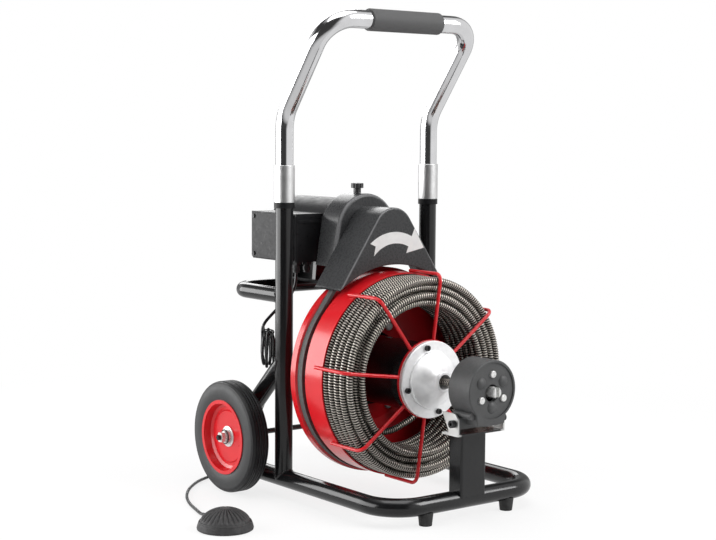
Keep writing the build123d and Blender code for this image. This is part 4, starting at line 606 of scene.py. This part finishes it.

# Feed head: an iron casting with a dark textured coat, on a zinc saddle over a square post.
# Three bright screws hold its face; behind it turn three guide rollers. The saddle's ears are bare
# zinc; its floor, in the head's shade, is coloured near black and not metal as painted shade.
head_coat = new_finish("head_coat")
tint(head_coat, grain(head_coat, 0.02, 4.0), (0.047, 0.048, 0.049), (0.061, 0.062, 0.063))
feed(head_coat, grain(head_coat, 0.003), "Roughness", 0.46, 0.62)
relief(head_coat, grain(head_coat, 0.0012, 3.0), 0.00016)
coat(head_coat, "head_housing", "head_back_plate")
coat(zinc, "head_face_screws")
coat(black_oxide, "head_clamp_bolts")
coat(ground_steel, "top_roller", "left_roller", "right_roller")
saddle_zinc_painted_shade, ear_edge = new_finish("saddle_zinc_painted_shade"), (0.0455, 0.0475)
saddle_parts = saddle_zinc_painted_shade.node_tree.nodes.new("ShaderNodeSeparateXYZ")
saddle_zinc_painted_shade.node_tree.links.new(placed(saddle_zinc_painted_shade), saddle_parts.inputs["Vector"])
saddle_out = work_out(saddle_zinc_painted_shade.node_tree, "ABSOLUTE", saddle_parts.outputs["X"])
# Painted shade: past ear_edge the ears keep the zinc, and the floor between them gets a near black,
# non-metal colour.
ear_zinc_or_painted_shade = mottled(saddle_zinc_painted_shade, saddle_out, grain(saddle_zinc_painted_shade, 0.008, 5.0), 0.003)
tint(saddle_zinc_painted_shade, ear_zinc_or_painted_shade, (0.009, 0.009, 0.0096), (0.62, 0.62, 0.61), *ear_edge)
feed(saddle_zinc_painted_shade, ear_zinc_or_painted_shade, "Metallic", 0.0, 1.0, *ear_edge)
feed(saddle_zinc_painted_shade, ear_zinc_or_painted_shade, "Roughness", 0.22, 0.40, *ear_edge)
relief(saddle_zinc_painted_shade, grain(saddle_zinc_painted_shade, 0.0012, 2.0), 0.00003)
coat(saddle_zinc_painted_shade, "saddle_bracket")
coat(powder_black, "feed_post")

# Head bosses: three soft round bosses that are cast on the face of the head, between its screws.
# Each is a low dome over its round seat in the face.
boss_radius, boss_high, boss_ring, boss_depth = 0.0112, 0.0072, 0.0283, 0.0049
head_level, boss_sides = 0.228, 48
boss_lift = np.radians(np.linspace(0, 84, 13))
boss_profile = np.stack([boss_radius * np.cos(boss_lift), boss_high * np.sin(boss_lift)], -1)
boss_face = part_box("head_housing")[0][1] + boss_depth
for boss_name, boss_degrees in (("right", 30.0), ("left", 150.0), ("lower", 270.0)):
    boss_angle = math.radians(boss_degrees)
    boss_foot = (boss_ring * math.cos(boss_angle), boss_face,
                 head_level + boss_ring * math.sin(boss_angle))
    boss_grid = turned_grid(boss_profile, boss_foot, (0, -1, 0), (1, 0, 0), (0, 0, 1), boss_sides)
    boss = fix_mesh(f"{boss_name}_head_boss", boss_grid, head_coat)
    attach(boss, "frame")

# Motor: a black painted induction motor with a front shield and a vented fan cover of moulded plastic.
# A V-belt runs from the small pulley on its shaft to the drum groove.
motor_paint = new_finish("motor_paint")
tint(motor_paint, grain(motor_paint, 0.03), (0.010, 0.010, 0.011), (0.016, 0.016, 0.017))
feed(motor_paint, grain(motor_paint, 0.012), "Roughness", 0.36, 0.5)
relief(motor_paint, grain(motor_paint, 0.0013), 0.00005)
even(motor_paint, "Specular IOR Level", 0.25)
coat(motor_paint, "motor_body", "motor_shield")
box_plastic = new_finish("box_plastic")
tint(box_plastic, grain(box_plastic, 0.03), (0.008, 0.008, 0.009), (0.013, 0.013, 0.014))
feed(box_plastic, grain(box_plastic, 0.006), "Roughness", 0.26, 0.40)
relief(box_plastic, grain(box_plastic, 0.0008), 0.00004)
even(box_plastic, "Specular IOR Level", 0.14)
coat(box_plastic, "fan_cover")
coat(ground_steel, "motor_shaft")
coat(turned_alloy, "motor_pulley")
belt_rubber = new_finish("belt_rubber")
tint(belt_rubber, grain(belt_rubber, 0.004), (0.055, 0.055, 0.055), (0.09, 0.09, 0.088))
feed(belt_rubber, grain(belt_rubber, 0.006), "Roughness", 0.6, 0.8)
relief(belt_rubber, grain(belt_rubber, 0.0006), 0.00008)
coat(belt_rubber, "v_belt")


# Belt guard: two thin moulded covers in dark grained plastic, one over the belt and one over the
# front of the motor, held down by a star knob on a zinc plated stud.
def rounded(finish, radius):
    """Softens the light along the sharp edges of a moulding, as a small radius there does."""
    tree = finish.node_tree
    edge = tree.nodes.new("ShaderNodeBevel")
    edge.samples = 6
    edge.inputs["Radius"].default_value = radius
    tree.links.new(edge.outputs["Normal"], tree.nodes["Principled BSDF"].inputs["Normal"])


def painted_edge_highlight(finish):
    """0.1 on faces that lie square to the Y axis or along it, and 1.1 half way round a rounded edge
    between them, for a painted highlight: the square of the sine of twice the normal's angle from that
    axis, plus 0.1."""
    tree = finish.node_tree
    place, parts = tree.nodes.new("ShaderNodeTexCoord"), tree.nodes.new("ShaderNodeSeparateXYZ")
    tree.links.new(place.outputs["Normal"], parts.inputs["Vector"])
    square = work_out(tree, "MULTIPLY", parts.outputs["Y"], parts.outputs["Y"])
    rest = work_out(tree, "MULTIPLY_ADD", square, -4.0, 4.0)
    return work_out(tree, "MULTIPLY_ADD", square, rest, 0.1)


guard_grain = new_finish("guard_grain")
# Painted highlight: the base colour is lightened along the rounded edges between the guard's faces.
guard_edge_highlight = mottled(guard_grain, painted_edge_highlight(guard_grain), grain(guard_grain, 0.05), 0.1)
tint(guard_grain, guard_edge_highlight, (0.024, 0.025, 0.026), (0.17, 0.17, 0.175), 0.0, 1.0)
feed(guard_grain, grain(guard_grain, 0.004), "Roughness", 0.24, 0.32)
rounded(guard_grain, 0.0038)
relief(guard_grain, grain(guard_grain, 0.0009, 2.0), 0.000015)
even(guard_grain, "Specular IOR Level", 0.26)
coat(guard_grain, "belt_guard", "motor_shroud")
knob_plastic = new_finish("knob_plastic")
tint(knob_plastic, grain(knob_plastic, 0.006), (0.026, 0.026, 0.027), (0.036, 0.036, 0.037))
feed(knob_plastic, grain(knob_plastic, 0.004), "Roughness", 0.32, 0.46)
coat(knob_plastic, "guard_knob")
coat(zinc, "knob_stud")

# Turning mark: a plain curved arrow in white film on the face of the guard, with a notched tail.
# It shows which way the drum turns.
arrow_middle, arrow_y = (0.0015, 0.392), -0.02315
head_low, head_high, head_tip = (np.array(p) for p in (
    (0.0281, arrow_y, 0.4411), (0.0470, arrow_y, 0.4855), (0.0695, arrow_y, 0.4492)))
# The shaft is a band between two circles, cut to a notch at its tail; the head is a triangle.
tail_middle, tail_slant, tail_notch, film_thick, tip_cut = 132.6, 3.4, 8.0, 0.00014, 0.985
shaft_across = np.array([0.0, 0.5, 1.0])[None, :]
tail_angle = (tail_middle + tail_slant * (1 - 2 * shaft_across)
              - tail_notch * (1 - np.abs(2 * shaft_across - 1)))
shaft_share = np.linspace(0, 1, 41)[:, None]
shaft_inner, shaft_outer = 0.0660 + 0.0025 * shaft_share, 0.0885 - 0.0005 * shaft_share
shaft_radius = shaft_inner + (shaft_outer - shaft_inner) * shaft_across
# The shaft ends on the line of the head's base: where each of its circles meets that line.
base_start = head_low[::2] - arrow_middle
base_way = (head_high - head_low)[::2] / np.linalg.norm(head_high - head_low)
base_foot = base_start @ base_way
base_run = np.sqrt(base_foot ** 2 - base_start @ base_start + shaft_radius[-1:] ** 2) - base_foot
base_spot = base_start + base_run[..., None] * base_way
end_angle = np.degrees(np.arctan2(base_spot[..., 1], base_spot[..., 0]))
shaft_angle = np.radians(tail_angle + (end_angle - tail_angle) * shaft_share)
arrow_shaft = np.stack([arrow_middle[0] + shaft_radius * np.cos(shaft_angle),
                        np.full(shaft_angle.shape, arrow_y),
                        arrow_middle[1] + shaft_radius * np.sin(shaft_angle)], -1)
head_share = np.linspace(0, tip_cut, 13)[:, None, None]
head_across = np.linspace(0, 1, 13)[None, :, None]
head_base = head_low + (head_high - head_low) * head_across
arrow_head = head_base * (1 - head_share) + head_tip * head_share
white_film = new_finish("white_film")
tint(white_film, grain(white_film, 0.01, 4.0), (0.66, 0.66, 0.655), (0.72, 0.72, 0.71))
feed(white_film, grain(white_film, 0.004), "Roughness", 0.38, 0.52)
for mark_name, mark_grid in (("turning_arrow_shaft", arrow_shaft), ("turning_arrow_head", arrow_head)):
    mark = fix_mesh(mark_name, mark_grid[:, ::-1], white_film, round_about=False)
    mark.data.shade_flat()
    film = mark.modifiers.new("film", "SOLIDIFY")
    film.thickness, film.offset = film_thick, -1.0
    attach(mark, "frame")

# Control box: a moulded box beside the motor with a screwed side cover, two glands below it
# and the reversing rocker at its far end.
coat(box_plastic, "control_box", "box_cover")
coat(black_oxide, "box_cover_screws")
gland_nylon = new_finish("gland_nylon")
tint(gland_nylon, grain(gland_nylon, 0.006), (0.009, 0.009, 0.010), (0.016, 0.016, 0.017))
feed(gland_nylon, grain(gland_nylon, 0.004), "Roughness", 0.44, 0.58)
coat(gland_nylon, "box_glands")
rocker_gloss = new_finish("rocker_gloss")
tint(rocker_gloss, grain(rocker_gloss, 0.006), (0.012, 0.012, 0.012), (0.019, 0.019, 0.02))
feed(rocker_gloss, grain(rocker_gloss, 0.004), "Roughness", 0.12, 0.22)
coat(rocker_gloss, "switch_rocker")

# Handle: one chromed tube bent into a sloped bow, on sleeves that slip over the frame's spigots.
# A smooth foam grip sits in the middle of the bow, black rings stop the sleeves.
chrome = new_finish("bright_chrome", 1.0)
tint(chrome, grain(chrome, 0.03, 4.0), (0.67, 0.67, 0.68), (0.74, 0.74, 0.75))
feed(chrome, grain(chrome, 0.004, 6.0, (1, 1, 12)), "Roughness", 0.09, 0.15)
coat(chrome, "handle_tube")
satin_sleeve = new_finish("satin_sleeve", 1.0)
tint(satin_sleeve, grain(satin_sleeve, 0.01, 4.0), (0.56, 0.56, 0.56), (0.64, 0.64, 0.64))
feed(satin_sleeve, grain(satin_sleeve, 0.002, 6.0, (1, 1, 10)), "Roughness", 0.34, 0.48)
coat(satin_sleeve, "handle_sleeves")
coat(box_plastic, "stop_rings")
grip_foam = new_finish("grip_foam")
tint(grip_foam, grain(grip_foam, 0.004), (0.066, 0.066, 0.067), (0.086, 0.086, 0.087))
feed(grip_foam, grain(grip_foam, 0.004), "Roughness", 0.6, 0.82)
relief(grip_foam, grain(grip_foam, 0.0007), 0.0001)
coat(grip_foam, "handle_grip")


# Foot pedal: a rubber bellows on a round base that blows air through a thin hose to the switch.
# Dark grey rubber with radial folds that run out into a smooth band at the foot of the dome.
def soft_step(value):
    """0 up to 0 and 1 from 1 on, with a smooth S between: three squares less two cubes."""
    held = np.clip(value, 0, 1)
    return held * held * (3 - 2 * held)


pedal_rubber = new_finish("pedal_rubber")
tint(pedal_rubber, grain(pedal_rubber, 0.01), (0.026, 0.025, 0.026), (0.035, 0.034, 0.035))
feed(pedal_rubber, grain(pedal_rubber, 0.006), "Roughness", 0.58, 0.76)
relief(pedal_rubber, grain(pedal_rubber, 0.0008), 0.00008)
coat(pedal_rubber, "pedal_base")
dome_middle, dome_radius, dome_foot, dome_rise = (-0.378, -0.052), 0.0427, 0.0130, 0.0240
skirt_level, dome_fullness, dimple_depth, dimple_wide = 0.0112, 1.2, 0.0009, 0.0035
fold_count, fold_depth, fold_points = 28, 0.0026, 12
fold_start, fold_rise, fold_stop, fold_fade = 0.12, 0.40, 1.46, 0.30
# The dome's radius falls as the cosine of the lift and its height grows as the sine, both less the
# folds, which go round as the square of a raised cosine.
dome_lift = np.radians(np.linspace(0, 89, 46))[:, None]
dome_round = np.arange(fold_count * fold_points)[None, :] * 2 * np.pi / (fold_count * fold_points)
fold_share = (soft_step((dome_lift - fold_start) / fold_rise)
              * soft_step((fold_stop - dome_lift) / fold_fade))
fold = fold_depth * fold_share * (0.5 + 0.5 * np.cos(fold_count * dome_round)) ** 2
dimple = dimple_depth * np.exp(-(dome_radius * np.cos(dome_lift) / dimple_wide) ** 2)
dome_reach = dome_radius * np.cos(dome_lift) - fold * np.cos(dome_lift)
dome_level = (dome_foot + dome_rise * np.sin(dome_lift) ** dome_fullness
              - fold * np.sin(dome_lift) - dimple)
dome_top = np.stack([dome_middle[0] + dome_reach * np.cos(dome_round),
                     dome_middle[1] + dome_reach * np.sin(dome_round), dome_level], -1)
dome_skirt = dome_top[:1] * (1, 1, 0) + (0, 0, skirt_level)
ribbed_dome = fix_mesh("ribbed_dome", np.concatenate([dome_skirt, dome_top]), pedal_rubber)
lip_sides = 96
lip_profile = np.array([(0.0430, 0.0126), (0.0449, 0.0122), (0.0446, 0.0134), (0.0439, 0.0146),
                        (0.0432, 0.0155), (0.0429, 0.0153)])
lip_grid = turned_grid(lip_profile, (*dome_middle, 0), (0, 0, 1), (1, 0, 0), (0, 1, 0), lip_sides)
pedal_lip = fix_mesh("pedal_lip", lip_grid, pedal_rubber, ring=True)
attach(pedal_lip, "frame")
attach(ribbed_dome, "pedal")
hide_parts("pedal_dome")

# Air hose: 5.6 mm black hose from the gland under the box, in a tied hank of three loops in the notch
# between upright and brace, then down the brace and over the floor to the pedal.
hose_radius, loop_radius, loop_half, loop_step, loops = 0.0028, 0.017, 0.0122, 0.0062, 3
hank_turn, bend_step, hank_lead = math.radians(37.5), math.radians(22.5), 0.022
longer_loop, loop_spread, end_squeeze, hose_steps = 0.005, 1.25, 0.4, 6
loop_way = np.array([math.sin(hank_turn), math.cos(hank_turn), 0.0])
loop_side = np.array([-loop_way[1], loop_way[0], 0.0])
hank_middle = np.array([-0.1697, 0.131, 0.2656])
hank_first = hank_middle - loop_side * (loop_step * loops / 2)
half_run = 2 * loop_half + math.pi * loop_radius
side_step = loop_step / (2 * half_run)
# A loop is two straight sides joined by half circles, and each bend lies a little further sideways.
bend_points = bend_step * (np.arange(-1, 9) + 0.5)
bend, bend_point = np.meshgrid(np.arange(2 * loops), bend_points, indexing="ij")
bend_way = np.where(bend % 2 == 0, 1.0, -1.0)
bend_control = loop_radius / (0.75 + 0.25 * math.cos(bend_step))
bend_run = bend * half_run + 2 * loop_half + loop_radius * bend_point
bend_spread = loop_spread - end_squeeze * np.clip(np.sin(bend_point), 0, 1)
bend_side = (bend_run * side_step - loop_step * loops / 2) * bend_spread
bend_rise = loop_half + np.where(bend // 2 == 1, longer_loop, 0) + bend_control * np.sin(bend_point)
hank_route = (hank_middle + (bend_way * bend_control * np.cos(bend_point))[..., None] * loop_way
              + bend_side[..., None] * loop_side + (bend_way * bend_rise)[..., None] * (0.0, 0.0, 1.0))
hank_run = (np.array([0.0, 0.0, 1.0]) + loop_side * side_step) / math.hypot(1.0, side_step)
hank_start = hank_first + loop_way * loop_radius - (0, 0, loop_half) - hank_run * 2 * hose_radius
hank_end = (hank_first + loop_way * loop_radius + (0, 0, loop_half) + hank_run * 2 * hose_radius
            + loop_side * (side_step * (2 * loops * half_run + 2 * loop_half)))
floor_route = np.array([
    (-0.372, 0.0035, 0.009), (-0.372, 0.0235, 0.009), (-0.364, 0.047, 0.0029), (-0.355, 0.076, 0.0029),
    (-0.345, 0.112, 0.0029), (-0.330, 0.149, 0.0029), (-0.311, 0.183, 0.0029), (-0.287, 0.216, 0.0029),
    (-0.261, 0.243, 0.0029), (-0.233, 0.267, 0.0029), (-0.200, 0.285, 0.0029), (-0.166, 0.288, 0.0089),
    (-0.146, 0.273, 0.0349), (-0.143, 0.246, 0.0689), (-0.144, 0.217, 0.1069), (-0.1465, 0.182, 0.1469),
    (-0.148, 0.153, 0.1959)])
rise_route = np.array([
    hank_end, hank_end + hank_run * hank_lead, hank_end + (0.020, -0.0085, 0.046),
    hank_end + (0.039, -0.0115, 0.0626), (-0.111, 0.136, 0.363), (-0.104, 0.135, 0.383),
    (-0.104, 0.135, 0.400)])
hose_route = np.concatenate([floor_route, [hank_start - hank_run * hank_lead, hank_start],
                             hank_route.reshape(-1, 3), rise_route])[::-1]
hose_curve = smooth_line("air_hose", hose_route, hose_steps)
hose_curve.bevel_depth = hose_radius
hose_curve.bevel_resolution = 3
hose_curve.use_fill_caps = True
air_hose = bpy.data.objects.new("air_hose", hose_curve)
studio.collection.objects.link(air_hose)
hose_black = new_finish("hose_black")
tint(hose_black, grain(hose_black, 0.02), (0.008, 0.008, 0.009), (0.014, 0.014, 0.015))
feed(hose_black, grain(hose_black, 0.01), "Roughness", 0.16, 0.30)
relief(hose_black, grain(hose_black, 0.0009), 0.00003)
hose_curve.materials.append(hose_black)
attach(air_hose, "frame")
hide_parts("hose_runs", "hose_hank")

# Hank tie: a thin black plastic strap round the three loops at their top, with its tail left long.
# The tail stands up and leans a little to the left.
tie_radius, tail_radius, tie_sides, tie_points, tail_points = 0.0011, 0.0015, 8, 64, 17
tie_half_side, tie_half_up, tie_fullness = 0.0112, 0.0046, 0.7
# The strap is a ring, fuller at its sides than an ellipse, and its tail a parabola over three points.
tie_round = np.arange(tie_points) * 2 * np.pi / tie_points
tie_middle = hank_middle + (0, 0, loop_half + loop_radius)
tie_across = np.sign(np.cos(tie_round)) * np.abs(np.cos(tie_round)) ** tie_fullness
tie_line = (tie_middle + np.outer(tie_half_side * tie_across, loop_side)
            + np.outer(tie_half_up * np.sin(tie_round), (0.0, 0.0, 1.0)))
tail_share = np.linspace(0, 1, tail_points)[:, None]
tail_line = (np.array([-0.1722, 0.1330, 0.2880]) * (1 - tail_share) ** 2
             + np.array([-0.1752, 0.1335, 0.2960]) * 2 * tail_share * (1 - tail_share)
             + np.array([-0.1756, 0.1372, 0.3095]) * tail_share ** 2)
tie_nylon = new_finish("tie_nylon")
tint(tie_nylon, grain(tie_nylon, 0.006), (0.007, 0.007, 0.008), (0.012, 0.012, 0.013))
feed(tie_nylon, grain(tie_nylon, 0.004), "Roughness", 0.24, 0.38)
tie_grid = tube_grid(tie_line, np.tile(loop_way, (tie_points, 1)), tie_radius, tie_sides, True)
tail_grid = tube_grid(tail_line, np.tile(loop_way, (tail_points, 1)), tail_radius, tie_sides)
hank_tie = fix_mesh("hank_tie", tie_grid, tie_nylon, ring=True)
tie_tail = fix_mesh("hank_tie_tail", tail_grid, tie_nylon)
for strap in (hank_tie, tie_tail):
    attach(strap, "frame")
